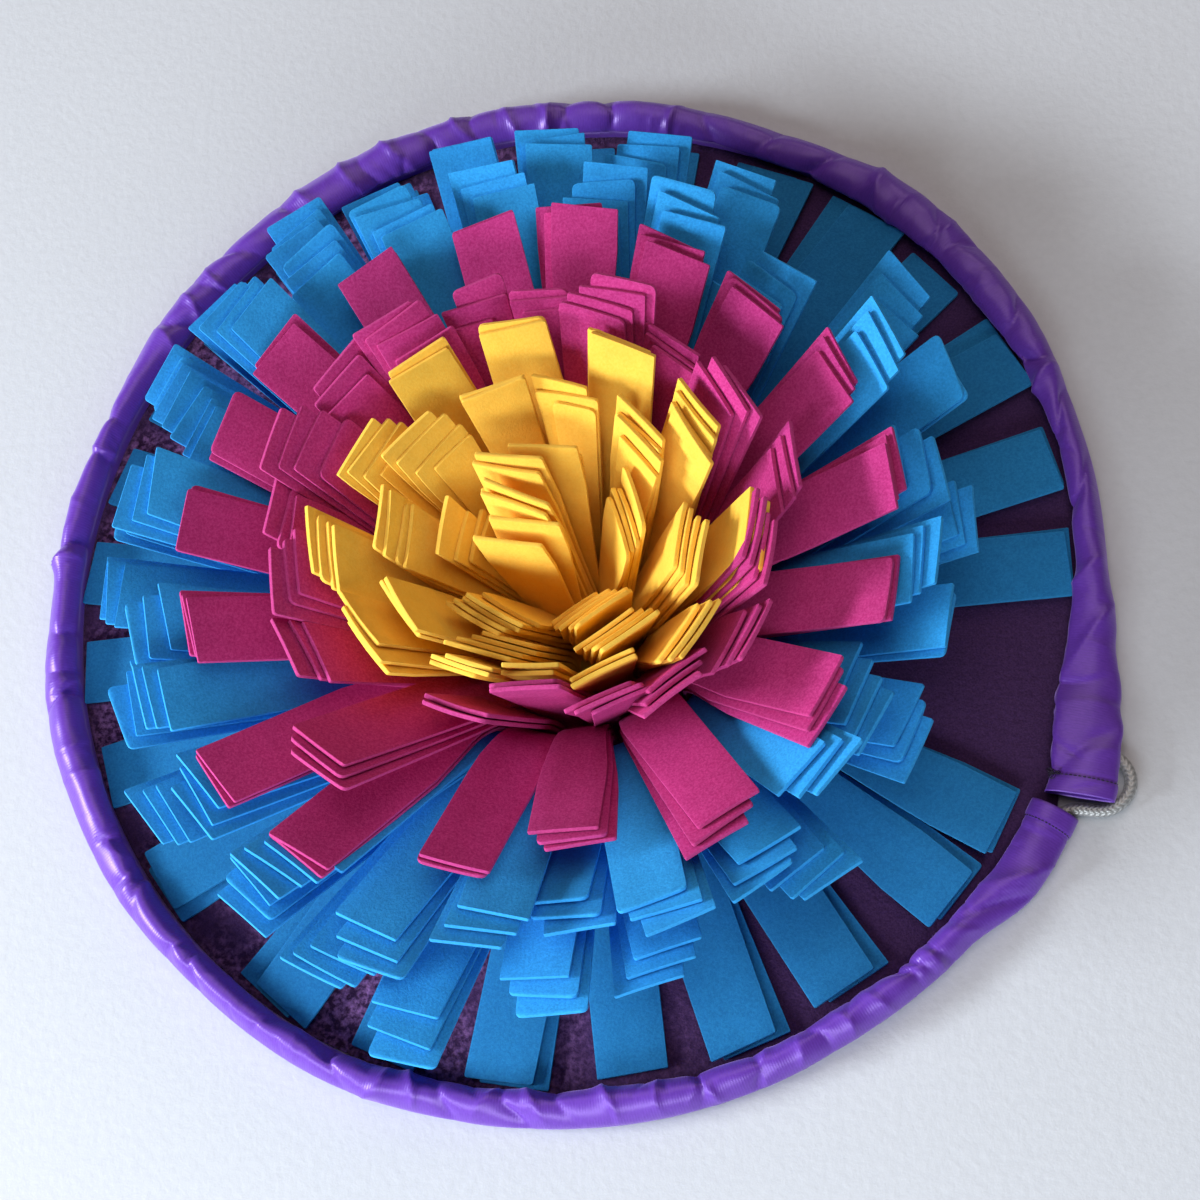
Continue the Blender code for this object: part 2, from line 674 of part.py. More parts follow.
def rim_casing():
    """The gathered casing, open at both ends."""
    rows = [dict(zip(RIM_COLUMNS, row)) for row in RIM_SECTIONS]
    start = rows[0]["bearing"]
    sweep = (rows[-1]["bearing"] - start) % 360.0
    points, faces, rings = [], [], []
    for step in range(RIM_STATIONS + 1):
        rings.append(rim_ring(rows, start + sweep * step / RIM_STATIONS, 0.0, points))
    count = len(rings[0])
    for one, two in zip(rings, rings[1:]):
        for i in range(count):
            j = (i + 1) % count
            faces.append((one[i], one[j], two[j], two[i]))
    hollow = math.degrees(MOUTH_DEPTH / RIM_WIDEST)
    for edge, inward, ring in ((start, 1, rings[0]), (start + sweep, -1, rings[-1])):
        mouth = []
        for depth in (0.0, hollow):
            mouth.append(rim_ring(rows, edge + inward * depth, MOUTH_WALL, points))
        for i in range(count):
            j = (i + 1) % count
            faces.append((ring[i], ring[j], mouth[0][j], mouth[0][i]))
            faces.append((mouth[0][i], mouth[0][j], mouth[1][j], mouth[1][i]))
        faces.append(tuple(mouth[1]))
    return add_object("rim_casing", points, faces, "satin", smooth=True)


def base_felt():
    """The round base, cut to meet the foot of the rim."""
    rows = [dict(zip(RIM_COLUMNS, row)) for row in RIM_SECTIONS]
    points, faces = [], []
    sides = 96
    lower, upper = [], []
    for i in range(sides):
        bearing = 360.0 * i / sides
        feet = [smooth_between(rows, "foot", bearing + turn) for turn in (-3, -1.5, 0, 1.5, 3)]
        radius = min(feet) - GAP - 0.1
        out, _ = direction(bearing)
        points.append((radius * out[0], radius * out[1], 0.0))
        lower.append(len(points) - 1)
        points.append((radius * out[0], radius * out[1], BASE_THICKNESS))
        upper.append(len(points) - 1)
    for i in range(sides):
        j = (i + 1) % sides
        faces.append((lower[i], lower[j], upper[j], upper[i]))
    faces.append(tuple(lower))
    faces.append(tuple(upper))
    return add_object("base_felt", points, faces, "base")


def drawstring():
    """The loop of cord between the two ends of the casing."""
    curve = bpy.data.curves.new("drawstring", "CURVE")
    curve.dimensions = "3D"
    curve.bevel_depth = CORD_DIAMETER / 2 * MM
    curve.bevel_resolution = 2
    curve.use_fill_caps = True
    line = curve.splines.new("POLY")
    line.points.add(len(CORD_ROUTE) - 1)
    for spot, place_mm in zip(line.points, CORD_ROUTE):
        spot.co = (place_mm[0] * MM, place_mm[1] * MM, place_mm[2] * MM, 1.0)
    curve.materials.append(material_for("cord"))
    body = bpy.data.objects.new("drawstring", curve)
    bpy.context.scene.collection.objects.link(body)
    return body


def main():
    for thing in list(bpy.data.objects):
        bpy.data.objects.remove(thing, do_unlink=True)
    base_felt()
    rim_casing()
    drawstring()
    flat_round()
    for row in ROUNDS:
        table = dict(zip(ROUND_COLUMNS, row))
        tiers = (table["tier_one"], table["tier_two"])
        raised_round(table["name"], table["colour"], tiers)
    core_strips()


main()
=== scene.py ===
"""Looks of the snuffle mat: felt strips, gathered satin rim, braided cord, light and camera.

Lengths are in millimetres and angles in degrees. Bearings run clockwise from +Y, seen from
above. The camera, the lamps, the floor and the textures are in metres, and so is a mesh:
its points are worked out in millimetres and turned into metres when it is made.
"""
import math
import random

import bpy
import numpy as np
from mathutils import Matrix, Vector


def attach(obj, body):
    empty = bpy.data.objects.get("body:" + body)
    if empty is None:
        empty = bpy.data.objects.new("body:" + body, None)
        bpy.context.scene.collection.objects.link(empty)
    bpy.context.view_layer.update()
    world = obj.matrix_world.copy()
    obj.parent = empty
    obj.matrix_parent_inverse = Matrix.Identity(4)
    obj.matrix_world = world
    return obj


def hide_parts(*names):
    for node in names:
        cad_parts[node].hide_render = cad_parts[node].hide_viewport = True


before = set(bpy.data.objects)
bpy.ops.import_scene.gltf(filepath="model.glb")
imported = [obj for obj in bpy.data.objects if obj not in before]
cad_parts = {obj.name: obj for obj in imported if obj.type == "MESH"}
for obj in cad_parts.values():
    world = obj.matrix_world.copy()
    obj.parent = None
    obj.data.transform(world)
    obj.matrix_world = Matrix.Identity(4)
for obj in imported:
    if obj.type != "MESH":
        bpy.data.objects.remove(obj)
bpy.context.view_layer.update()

MM = 0.001
SEED = 7

# ---- sizes
FELT = 1.85  # thickness of a strip
STRIP_WIDTH = 28.0
LAYER_PITCH = 2.25  # from one strip of a bundle to the next
BASE_THICKNESS = 3.0
GAP = 0.35
SEAM_BASE = BASE_THICKNESS + GAP
SEAM_TOP = SEAM_BASE + 2.2
BAND_TOP = SEAM_TOP + 0.2  # the top of the backing that a round is sewn to
BAND_MARGIN = 0.3
BAND_SIDES = 72
BASE_SIDES = 144
BASE_RINGS = 40
BASE_WAVE = 0.1  # height of its unevenness
BASE_SLACK = 0.18  # how far under its full thickness its middle height is
FLOWER_X = 6.0
FLOWER_Y = -14.0
LEAN_X = -0.125
LEAN_Y = 0.20
CORD_DIAMETER = 5.0
CORD_SIDES = 48
CORD_COLUMNS = 8  # columns of the braid round the cord
CORD_YARN = 2.1  # from one yarn of a column to the next
CORD_STEPS = 16  # from one point of its route to the next
RIM_MIDDLE = 219.0  # radius along which lengths round the rim are measured
MOUTH = 117.0  # bearing of the gap between the casing's two ends

# ---- camera and light, in metres
LENS = 72.0  # this and the sensor's width are in millimetres, as Blender has them
SENSOR = 36.0
CAMERA_AT = Vector((0.1522, -0.3247, 0.9313))
CAMERA_AIM = Vector((0.0122, -0.0059, 0.0))
COOL = (0.86, 0.93, 1.0)
WARM = (1.0, 0.86, 0.80)
LAMP_AIM = Vector((0.15, -0.55, 0.0))
ROOM_LIGHT = 0.03
FLOOR_HALF = 3.0  # half the width of the table top
# bearing and height of each lamp in degrees, and its distance. wide and tall: its size.
LAMP_COLUMNS = ("name", "bearing", "height", "distance", "wide", "tall", "power", "colour")
LAMPS = [
    ("window", 258, 22, 2.4, 1, 0.35, 86, COOL),
    ("front_window", 188, 26, 1.5, 1.9, 0.4, 24, COOL),
    ("ceiling", 20, 78, 2.2, 1.6, 1.6, 13, WARM),
    ("back_wall", 22, 35, 2.2, 1.6, 1, 8.5, WARM),
]

# ---- looks
# the cut edges are painted paler: partly the fuzz of cut felt, partly a painted highlight where
# edges catch the light
EDGE_FUZZ_AND_HIGHLIGHT = 0.22  # how much of the light colour a strip's cut edges take on
SHARP_EDGES = 40  # degrees from which an edge of a strip isn't shaded smooth
# the base's nap is smooth right of the first x, and crushed left of the second, in metres
CRUSHED_FROM = 0.07
CRUSHED_FULLY = -0.10
BAND_TONE = (0.8, 0.8, 0.8)  # shade of the backing

# ---- how a strip is cut and bent
EDGE_ROUND = 0.12  # from its edge to the last point of its face
EDGE_INSET = 0.75  # from its edge to the point before
INNER_SHARE = 0.45  # where the next point is, as a share of its half width
EDGE_DROP = 0.1  # how much lower its face is at the edge
TIP_THICKNESS = 0.8  # thickness of its cut end, as a share
SLANT_LENGTH = 7.0  # how far from the tip a slanting cut begins
TINY = 0.01  # what counts as no distance
STRIP_GAP = 0.5  # from each strip to the middle between two neighbours
NARROWEST = 2.0  # the least half width
RISE_PER_REACH = 0.18  # how much higher the tip is for each millimetre further out
BEND_STEPS = 6
SHORTEST_REACH = 4.0  # the least length past the bend
RIPPLE_FROM = 60.0  # radius from which the rounds are uneven
TILT_OVER = 4.0  # degrees to each side over which the unevenness tilts a strip
TILT_FROM = 20.0  # the least radius for that

# ---- the rounds of strips
# root: radius of the seam. tip and height: where a strip of the round ends. bow: how many
# degrees flatter it is there than a straight line to it. second: how far the round's
# second tier lies over the first. more: strips that a bundle has beyond its row.
ROUND_COLUMNS = ("name", "colour", "root", "tip", "height", "bow", "second", "more")
ROUNDS = [
    ("fringe_blue_lower", "blue", 86, 188, 45, 1.5, 6.6, 1),
    ("fringe_blue_upper", "blue", 74, 168, 59, 3, 8.4, 1),
    ("fringe_magenta_outer", "magenta", 57.2, 141, 67.5, 9, 0, 1),
    ("fringe_magenta_inner", "magenta", 51.2, 104, 77, 3, 4.6, 1),
    ("fringe_yellow_outer", "yellow", 36.4, 81, 80, 2.5, 0, 1),
    ("fringe_yellow_middle", "yellow", 26.8, 60, 77, 2, 0, 1),
    ("fringe_yellow_heart", "yellow", 16.4, 38, 67, 1.5, 0, 2),
]

# One row per bundle. reach: from the flower's axis to the tip of the lowest strip. fan:
# sideways step from a strip to the next. step: how much shorter the next one is. tier: 1
# where the bundle lies in the second tier.
BUNDLE_COLUMNS = ("bearing", "reach", "strips", "fan", "step", "tier")
BUNDLES = {
    "fringe_blue_lower": [
        (0, 192, 2, 3, 5, 1), (12, 193, 2, -4, 6, 0), (27, 184, 2, 4, 5, 1), (52, 188, 2, 4, 9, 0),
        (66, 176, 1, 0, 0, 1), (84, 166, 2, -4, 5, 0), (102, 158, 1, 0, 0, 1),
        (118, 160, 2, -5, 4, 0), (142, 168, 2, 4, 5, 1), (166, 172, 2, -5, 6, 0),
        (181, 178, 2, 4, 6, 1), (197, 203, 2, 3, 9, 0), (208, 187, 2, -4, 5, 1),
        (223, 184, 2, 4, 6, 0), (237, 189, 2, -3, 5, 1), (254, 186, 2, 4, 6, 0),
        (268, 184, 2, -3, 4, 1), (282, 186, 2, 4, 5, 0), (298, 191, 2, -4, 5, 1),
        (311, 191, 2, 4, 4, 0), (324, 192, 2, -3, 5, 1), (336, 191, 2, 4, 6, 0),
        (348, 191, 1, 0, 0, 1),
    ],
    "fringe_blue_upper": [
        (8, 168, 3, -3, 7, 0), (23, 160, 2, 4, 6, 1), (38, 152, 3, -4, 7, 0),
        (62, 160, 2, 4, 6, 1), (79, 158, 2, -5, 7, 0), (96, 154, 2, 4, 5, 1),
        (118, 146, 3, -5, 6, 0), (132, 150, 2, 5, 6, 1), (147, 158, 2, -5, 5, 0),
        (162, 163, 2, 4, 6, 1), (177, 152, 2, 5, 6, 0), (188, 162, 2, -4, 7, 1),
        (203, 178, 2, 4, 8, 0), (217, 169, 3, -4, 6, 1), (235, 172, 2, 4, 5, 0),
        (249, 170, 2, -3, 5, 1), (261, 168, 2, 3, 6, 0), (280, 171, 2, 4, 5, 1),
        (294, 172, 3, -3, 6, 0), (310, 169, 2, 4, 5, 1), (323, 171, 2, -3, 6, 0),
        (337, 169, 3, 3, 6, 1), (352, 171, 2, 4, 6, 0),
    ],
    "fringe_magenta_outer": [
        (6, 143, 2, 4, 1, 0), (24, 136, 2, 3, 3, 0), (42, 132, 2, 4, 2, 0), (62, 138, 2, 3, 3, 0),
        (82, 142, 2, 4, 2, 0), (102, 140, 1, 0, 0, 0), (123, 134, 2, -4, 3, 0),
        (149, 140, 2, -5, 3, 0), (174, 123, 2, 3, 2, 0), (194, 135, 1, 0, 0, 0),
        (216, 155, 1, 0, 0, 0), (233, 157, 1, 0, 0, 0), (257, 144, 2, -3, 2, 0),
        (276, 145, 1, 0, 0, 0), (293, 142, 1, 0, 0, 0), (309, 141, 1, 0, 0, 0),
        (329, 141, 1, 0, 0, 0), (350, 141, 1, 0, 0, 0),
    ],
    "fringe_magenta_inner": [
        (2, 101, 2, 3, 4, 0), (19, 102, 3, -4, 4, 1), (38, 94, 2, 4, 4, 0), (58, 97, 2, -4, 4, 1),
        (79, 106, 2, 3, 5, 0), (99, 95, 3, -4, 3, 1), (121, 98, 2, 4, 4, 0),
        (141, 92, 2, -4, 4, 1), (157, 78, 2, 4, 2, 0), (180, 70, 1, 0, 0, 1),
        (203, 79, 1, 0, 0, 0), (219, 126, 2, 3, 3, 1), (243, 106, 2, -3, 5, 0),
        (260, 103, 2, 4, 5, 1), (276, 106, 2, -4, 5, 0), (293, 110, 3, 3, 6, 1),
        (310, 108, 2, -4, 5, 0), (328, 107, 3, 3, 5, 1), (345, 105, 2, -4, 5, 0),
    ],
    "fringe_yellow_outer": [
        (27, 83, 2, 2, 2, 0), (60, 79, 3, 3, 3, 0), (96, 92, 2, -3, 3, 0), (128, 81, 2, 3, 3, 0),
        (155, 67, 1, 0, 0, 0), (180, 60, 1, 0, 0, 0), (204, 65, 2, -3, 2, 0),
        (236, 80, 2, 5, 2, 0), (264, 86, 3, -3, 3, 0), (300, 80, 3, 3, 4, 0),
        (327, 84, 1, 0, 0, 0), (355, 83, 1, 0, 0, 0),
    ],
    "fringe_yellow_middle": [
        (13, 60, 2, 3, 3, 0), (50, 59, 3, 3, 3, 0), (100, 68, 3, -3, 4, 0), (143, 60, 3, 2, 4, 0),
        (200, 54, 3, -2, 4, 0), (238, 60, 1, 0, 0, 0), (274, 62, 3, -2, 4, 0),
        (312, 63, 3, 3, 4, 0), (345, 58, 1, 0, 0, 0),
    ],
    "fringe_yellow_heart": [
        (9, 34, 1, 0, 0, 0), (76, 40, 2, 2, 3, 0), (146, 40, 3, 2, 4, 0), (214, 42, 3, -2, 3, 0),
        (285, 38, 3, 2, 4, 0), (330, 33, 2, 2, 3, 0),
    ],
}

# The strips that stand in the middle, from the near side to the far side. foot and beside:
# where each is sewn, behind and to the right of the flower's axis. back and side: where its
# tip is. tall: its height. turn: how far its tip is turned clockwise.
CORE_BEARING = 8.0
CORE_CORNER = 0.8
CORE_BEND = 1.35  # above 1, the strips bend back towards their tips
CORE_ROOT_HALF = 7.0  # half width at the root
CORE_WIDENING = 9.0  # how much more it may be at the tip
CORE_STEPS = 9
DISC_RADIUS = 9.45  # the disc of backing under them
DISC_SIDES = 24
CORE_COLUMNS = ("foot", "beside", "back", "side", "tall", "turn")
CORE_STRIPS = [
    (-7.2, -4.5, -5.5, -10.5, 72, 2),
    (-4.8, -4, 2, -4, 75, 0),
    (-2.4, 0, 8, -8.5, 77, 14),
    (0, 0.5, 11.5, -7.5, 79, 16),
    (2.4, 1, 21, -13, 79, 6),
    (4.8, 1, 25, -12, 81, 2),
    (7.2, 1, 33, -1, 76, -2),
]

# The strips that lie on the base, their colour darkened to paint the shade that the raised
# strips and the rim cast on them. second: how far round a second strip lies over it.
FLAT_PAINTED_SHADE = 0.57
FLAT_ROOT = 92.0
FLAT_LEVEL = SEAM_BASE + 1.0  # height of the middle of the lowest ones
FLAT_GAP = 0.4
FLAT_STEP = 1.2  # how much shorter a second strip is
FLAT_OVER = 6.0  # how far a second strip may lie over its neighbour's side
FLAT_BAND_IN = 88.6
FLAT_BAND_OUT = 93.6
FLAT_COLUMNS = ("bearing", "reach", "strips", "second")
FLAT_STRIPS = [
    (0, 216, 1, 0), (10, 216, 1, 0), (22, 215, 2, 8), (34, 214, 2, 9), (46, 209, 1, 0),
    (58, 209, 2, 9), (73, 203, 2, 2), (86, 199, 2, 2), (119, 191, 2, 2), (129, 191, 2, 5),
    (145, 188, 2, 6), (159, 190, 2, 5), (174, 188, 1, 0), (188, 193, 2, 6), (204, 196, 1, 0),
    (220, 200, 2, -9), (237, 205, 2, 6), (253, 209, 1, 0), (266, 213, 1, 0), (278, 216, 1, 0),
    (290, 216, 1, 0), (301, 216, 1, 0), (312, 216, 1, 0), (324, 216, 1, 0), (336, 216, 1, 0),
    (348, 216, 1, 0),
]

# ---- the rim
# foot: radius of its inner foot. crest: radius of its highest line. out: outer radius.
# high: height of the crest. lap: how far its inner edge leans over the base. clear: height
# of its underside, which leaves the surface where the cord passes under it.
RIM_COLUMNS = ("bearing", "foot", "crest", "out", "high", "lap", "clear")
RIM_SECTIONS = [
    (118.1, 208.5, 216, 227, 10.5, 0.5, 0),
    (126, 209.5, 218, 227.5, 11, 0.8, 0),
    (135, 209.5, 214, 220.5, 14, 1, 0),
    (150, 209.5, 212, 220, 15, 2.5, 0),
    (161, 209.5, 214, 221, 13, 1, 0),
    (177, 209.5, 212, 221.5, 15, 2.5, 0),
    (190, 209.5, 214, 222, 14, 1, 0),
    (206, 210.5, 217, 223.5, 16, 0.2, 0),
    (223, 210.5, 217, 222.5, 17, 0.2, 0),
    (240, 210.5, 216, 225, 15, 0.8, 0),
    (258, 210.5, 217, 226, 17, 0.3, 0),
    (274, 210, 216, 222.5, 18, 0.6, 0),
    (290, 209.5, 215, 220.5, 18, 1, 0),
    (306, 209.5, 216, 225, 15, 1, 0),
    (318, 209.5, 217, 225, 16, 2, 0),
    (331, 209.5, 218, 228, 15, 2.5, 0),
    (351, 209.5, 219, 226.5, 16, 1, 0),
    (8, 209.5, 217, 224, 16, 1.2, 0),
    (26, 209.5, 216, 223, 14, 2.5, 0),
    (43, 209.5, 217, 226.5, 14, 3, 0),
    (57, 209.5, 216, 224, 13, 2.5, 0),
    (76, 209.5, 214, 219.5, 12, 2, 0),
    (90, 208.5, 212.5, 218.5, 11.5, 2.5, 0),
    (99, 207.5, 214, 222.5, 11, 4.5, 0),
    (105.5, 207.5, 216, 228, 10.5, 5, 0.6),
    (109.5, 208.5, 219, 232, 12, 3.5, 5.4),
    (117, 211.5, 224, 236.5, 12.5, 0, 6.2),
]
RIM_STATIONS = 1440
RIM_AROUND = 34
END_SLANT = 1.7  # how many degrees sooner the upper end stops at its outer edge
END_SLANT_OVER = 12.0  # degrees before that end over which the slant builds up
END_WIDTH = 25.0  # width of the casing there
SATIN = 0.45  # thickness of the casing's cloth
HEM = 8.0  # from each end to its line of stitches
PER_DEGREE = math.radians(RIM_MIDDLE)  # length of one degree round the rim
DEEPEST_GATHER = 4.2
HIGHEST_GATHER = 2.6
SMALL_CREASES = 150
CREASE_SIGHT = 9.0  # how many degrees away a large crease still shows
SMALL_SIGHT = 6.0  # the same for a small one
STITCH_RADIUS = 0.26
STITCH_BULGE = 0.25
STITCH_FROM = 0.05  # the share of the way to the next hole where a stitch starts
STITCH_TO = 0.80
STITCHED = range(3, RIM_AROUND - 12)  # the points round the casing that are holes
TANGLE_AT = 5  # the point by which the loose thread hangs
TANGLE_LOOPS = 7
TANGLE_STEPS = 12
TANGLE_STEP = 1.1
TANGLE_PULL = 0.35  # how strongly a loop turns back to the corner
TANGLE_RADIUS = 0.2
TANGLE_LOWEST = 3.6
THREAD_SIDES = 5
THREAD_UPWARD = Vector((0.13, 0.21, 0.97))

# The creases of the rim as they run over it. out and inner: bearing at the outer and at
# the inner edge. deep: depth of the valley, or less than nothing for a ridge. wide: its
# half width.
CREASE_COLUMNS = ("out", "inner", "deep", "wide")
CREASES = [
    (3.7, 5.3, 2.2, 3), (13.4, 12.2, -1.4, 2.5), (15.7, 17.8, 1.2, 3), (24.9, 22.8, 1.6, 3),
    (32.9, 30.1, 2.6, 3.5), (37.2, 39.8, -2.4, 4), (42.6, 41.7, -1.2, 3), (44.5, 47.8, 1.8, 3),
    (47.2, 46.2, -1.2, 3), (51, 49.4, 2, 4), (54.3, 56, -0.8, 5), (58.1, 61.8, 2, 3),
    (66.1, 65.3, 2.4, 3), (67.6, 69.3, -2.2, 3), (70.3, 76, 2.2, 4), (77.3, 84.1, 1.6, 4),
    (89.9, 93, -1.6, 4), (95, 103.6, -1.6, 4), (101.9, 104.8, 1.4, 3), (106.3, 107.3, -1.2, 5),
    (108.2, 115.4, 1.8, 5), (111.1, 114.8, -1, 4), (120.5, 121.4, 1, 4), (123.2, 129.1, -2.4, 5),
    (126.9, 134.6, 2.2, 5), (131.9, 135.5, -0.9, 4), (136.8, 137.8, 1.4, 2), (138.1, 138.8, -1, 2),
    (139.2, 140.5, 1.6, 2), (141.1, 142.1, 2.4, 3), (144.7, 146.4, -1.2, 3),
    (149.4, 150.3, -1.4, 3), (152, 153.6, 1.6, 3), (155.5, 155, -1, 3), (159.4, 158.1, -1.4, 2.5),
    (160.5, 159.8, 2.4, 3), (164.1, 165.4, -1.4, 3), (166.3, 166.1, 2.2, 3),
    (169.8, 169.8, -1, 2.5), (174.6, 176, -1.6, 3), (178.2, 180.9, 1.2, 4),
    (181.8, 184.1, -1.4, 4), (183.6, 186.7, 2.4, 4), (189.5, 187.2, -1.2, 4),
    (191.4, 193.7, 1.8, 3), (195.8, 197, -1.6, 2.5), (201.2, 199.3, -2.2, 5), (203.1, 205.8, 3, 4),
    (209, 210, -0.8, 5), (213.9, 213, 1, 4), (222, 224.6, 2.2, 3), (227.1, 225.6, 1.8, 3),
    (232.3, 235.5, 1.6, 4), (235.2, 234.9, -1.4, 3), (236.8, 237.6, 1.8, 2.5),
    (241.4, 240.8, 2.2, 4), (250, 249.4, -1.2, 4), (253.2, 253.2, -1, 3), (257.4, 259.1, 2.6, 3),
    (259.4, 260.7, -1.2, 2), (262.2, 261.7, 1.4, 3), (267.3, 266.5, 1.8, 3),
    (273.8, 275.1, -2.4, 4), (275.9, 277.2, 2.6, 3), (282.6, 280.5, -0.8, 5),
    (288.1, 287.8, 2.2, 3), (289.2, 288.9, -1.2, 2.5), (292.4, 292.4, 1.4, 3),
    (304.1, 303.5, -1.6, 4), (305.3, 307.1, 2.2, 3), (309.2, 308.3, -1.4, 2),
    (311.2, 312.7, 1.2, 2), (313.8, 313.3, -1.4, 2), (315.4, 318.9, 2.4, 4), (324.5, 327, 1.6, 3),
    (326.8, 328.6, -1.6, 2.5), (332.8, 333.8, -1.8, 2.5), (335, 335.6, 1.6, 4),
    (337.7, 340.7, -1.8, 2.5), (341.9, 343.6, 2, 3), (346.4, 348.9, -1.6, 2),
    (348.8, 349.1, 1.2, 2), (352.3, 353.9, -1.6, 2.5), (355.7, 357.5, -1.2, 2), (358, 357, -1, 2),
    (360.1, 360.6, 1.4, 3),
]

# ---- the cord
CORD_ROUTE = [
    (188.6, -108.6, 4.6), (191.8, -105.6, 4.6), (196.2, -103.3, 4.3), (201.5, -102.6, 3.6),
    (207, -103.2, 3), (212.4, -102.9, 2.6), (217.2, -100.6, 2.6), (220.5, -96.6, 2.6),
    (221.8, -91.6, 2.6), (220.6, -86.6, 2.6), (217.4, -82.4, 2.6), (213.6, -79, 2.6),
]


def rows_of(columns, table):
    """The rows of a table, each with its columns named."""
    return [dict(zip(columns, values)) for values in table]


# ---- camera and light
def make_camera():
    """The camera at the photograph's place, with the world's +Y up in the picture."""
    data = bpy.data.cameras.new("camera")
    data.lens = LENS
    data.sensor_width = SENSOR
    data.clip_start = 0.01
    data.clip_end = 20.0
    camera = bpy.data.objects.new("camera", data)
    bpy.context.scene.collection.objects.link(camera)
    ahead = (CAMERA_AIM - CAMERA_AT).normalized()
    up = Vector((0, 1, 0))
    up = (up - ahead * up.dot(ahead)).normalized()
    right = ahead.cross(up)
    turn = camera.matrix_world.to_3x3()
    turn.col[0], turn.col[1], turn.col[2] = right, up, -ahead
    camera.matrix_world = turn.to_4x4()
    camera.location = CAMERA_AT
    bpy.context.scene.camera = camera


def make_light():
    """A window on the left, another in front, and the warm room behind."""
    for row in rows_of(LAMP_COLUMNS, LAMPS):
        out = direction(row["bearing"])[0]
        rise = math.radians(row["height"])
        spot = row["distance"] * Vector((math.cos(rise) * out[0], math.cos(rise) * out[1],
                                         math.sin(rise)))
        data = bpy.data.lights.new(row["name"], "AREA")
        data.shape = "RECTANGLE"
        data.size, data.size_y = row["wide"], row["tall"]
        data.energy = row["power"]
        data.color = row["colour"]
        lamp = bpy.data.objects.new(row["name"], data)
        bpy.context.scene.collection.objects.link(lamp)
        lamp.location = spot
        lamp.rotation_euler = (LAMP_AIM - spot).to_track_quat("-Z", "Y").to_euler()
    world = bpy.data.worlds.new("room")
    bpy.context.scene.world = world
    world.use_nodes = True
    back = world.node_tree.nodes["Background"]
    back.inputs["Color"].default_value = (*WARM, 1.0)
    back.inputs["Strength"].default_value = ROOM_LIGHT
    bpy.context.scene.view_settings.view_transform = "Standard"


# ---- materials
def new_material(name, settings):
    """A material whose shader has the given settings, ready for nodes."""
    material = bpy.data.materials.new(name)
    material.use_nodes = True
    shader = material.node_tree.nodes["Principled BSDF"]
    for socket, value in settings.items():
        shader.inputs[socket].default_value = value
    return material, material.node_tree, shader


def object_spot(tree):
    """The coordinates of a point on its piece."""
    return tree.nodes.new("ShaderNodeTexCoord").outputs["Object"]


def stored(tree, name):
    """The node of a value that the mesh holds for each point."""
    node = tree.nodes.new("ShaderNodeAttribute")
    node.attribute_name = name
    return node


def noise(tree, spot, scale, detail=2.0, rough=0.5):
    """The value of a noise texture over the given coordinates."""
    node = tree.nodes.new("ShaderNodeTexNoise")
    node.inputs["Scale"].default_value = scale
    node.inputs["Detail"].default_value = detail
    node.inputs["Roughness"].default_value = rough
    tree.links.new(spot, node.inputs["Vector"])
    return node.outputs["Fac"]


def ramp(tree, source, low, high, low_colour, high_colour):
    """Turn a value into a colour between two limits."""
    node = tree.nodes.new("ShaderNodeValToRGB")
    ends = ((low, low_colour), (high, high_colour))
    for element, (position, colour) in zip(node.color_ramp.elements, ends):
        element.position = position
        element.color = (*colour, 1.0)
    tree.links.new(source, node.inputs["Fac"])
    return node.outputs["Color"]


def mix(tree, factor, one, two, mode="MIX"):
    """Mix two colours. Each may be a socket or a colour, and the factor a socket or a number."""
    node = tree.nodes.new("ShaderNodeMix")
    node.data_type = "RGBA"
    node.blend_type = mode
    for value, entry in ((factor, 0), (one, 6), (two, 7)):
        if isinstance(value, bpy.types.NodeSocket):
            tree.links.new(value, node.inputs[entry])
        elif entry == 0:
            node.inputs[entry].default_value = value
        else:
            node.inputs[entry].default_value = (*value, 1.0)
    return node.outputs[2]


def maths(tree, operation, one, two):
    """Combine two values. The second may be a socket or a number."""
    node = tree.nodes.new("ShaderNodeMath")
    node.operation = operation
    tree.links.new(one, node.inputs[0])
    if isinstance(two, bpy.types.NodeSocket):
        tree.links.new(two, node.inputs[1])
    else:
        node.inputs[1].default_value = two
    return node.outputs[0]


def bump(tree, shader, height, distance, strength):
    """Raise the surface by a texture."""
    node = tree.nodes.new("ShaderNodeBump")
    node.inputs["Distance"].default_value = distance
    node.inputs["Strength"].default_value = strength
    tree.links.new(height, node.inputs["Height"])
    tree.links.new(node.outputs["Normal"], shader.inputs["Normal"])


def felt_material(name, colour, light, dark):
    """Needled felt: short fibres, soft mottling, and paler cut edges, partly fuzz and partly a
    painted highlight.
    """
    material, tree, shader = new_material(name, {
        "Roughness": 0.95, "Specular IOR Level": 0.2, "Sheen Weight": 0.12,
        "Sheen Roughness": 0.5, "Sheen Tint": (*light, 1.0)})
    spot = object_spot(tree)
    fibre = noise(tree, spot, 1000.0, 3.0, 0.7)
    mottle = noise(tree, spot, 170.0)
    soft = ramp(tree, mottle, 0.35, 0.65, (0.94, 0.94, 0.94), (1.0, 1.0, 1.0))
    cloth = mix(tree, 1.0, ramp(tree, fibre, 0.36, 0.64, dark, colour), soft, "MULTIPLY")
    # each strip's own shade, which on the flat strips also holds painted shade
    cloth = mix(tree, 1.0, cloth, stored(tree, "tone_and_painted_shade").outputs["Color"], "MULTIPLY")
    # paler cut edges: partly fuzz, partly a painted highlight of edges catching the light
    edge = maths(tree, "MULTIPLY", stored(tree, "edge").outputs["Fac"], EDGE_FUZZ_AND_HIGHLIGHT)
    tree.links.new(mix(tree, edge, cloth, light), shader.inputs["Base Color"])
    bump(tree, shader, fibre, 0.0004, 0.4)
    return material


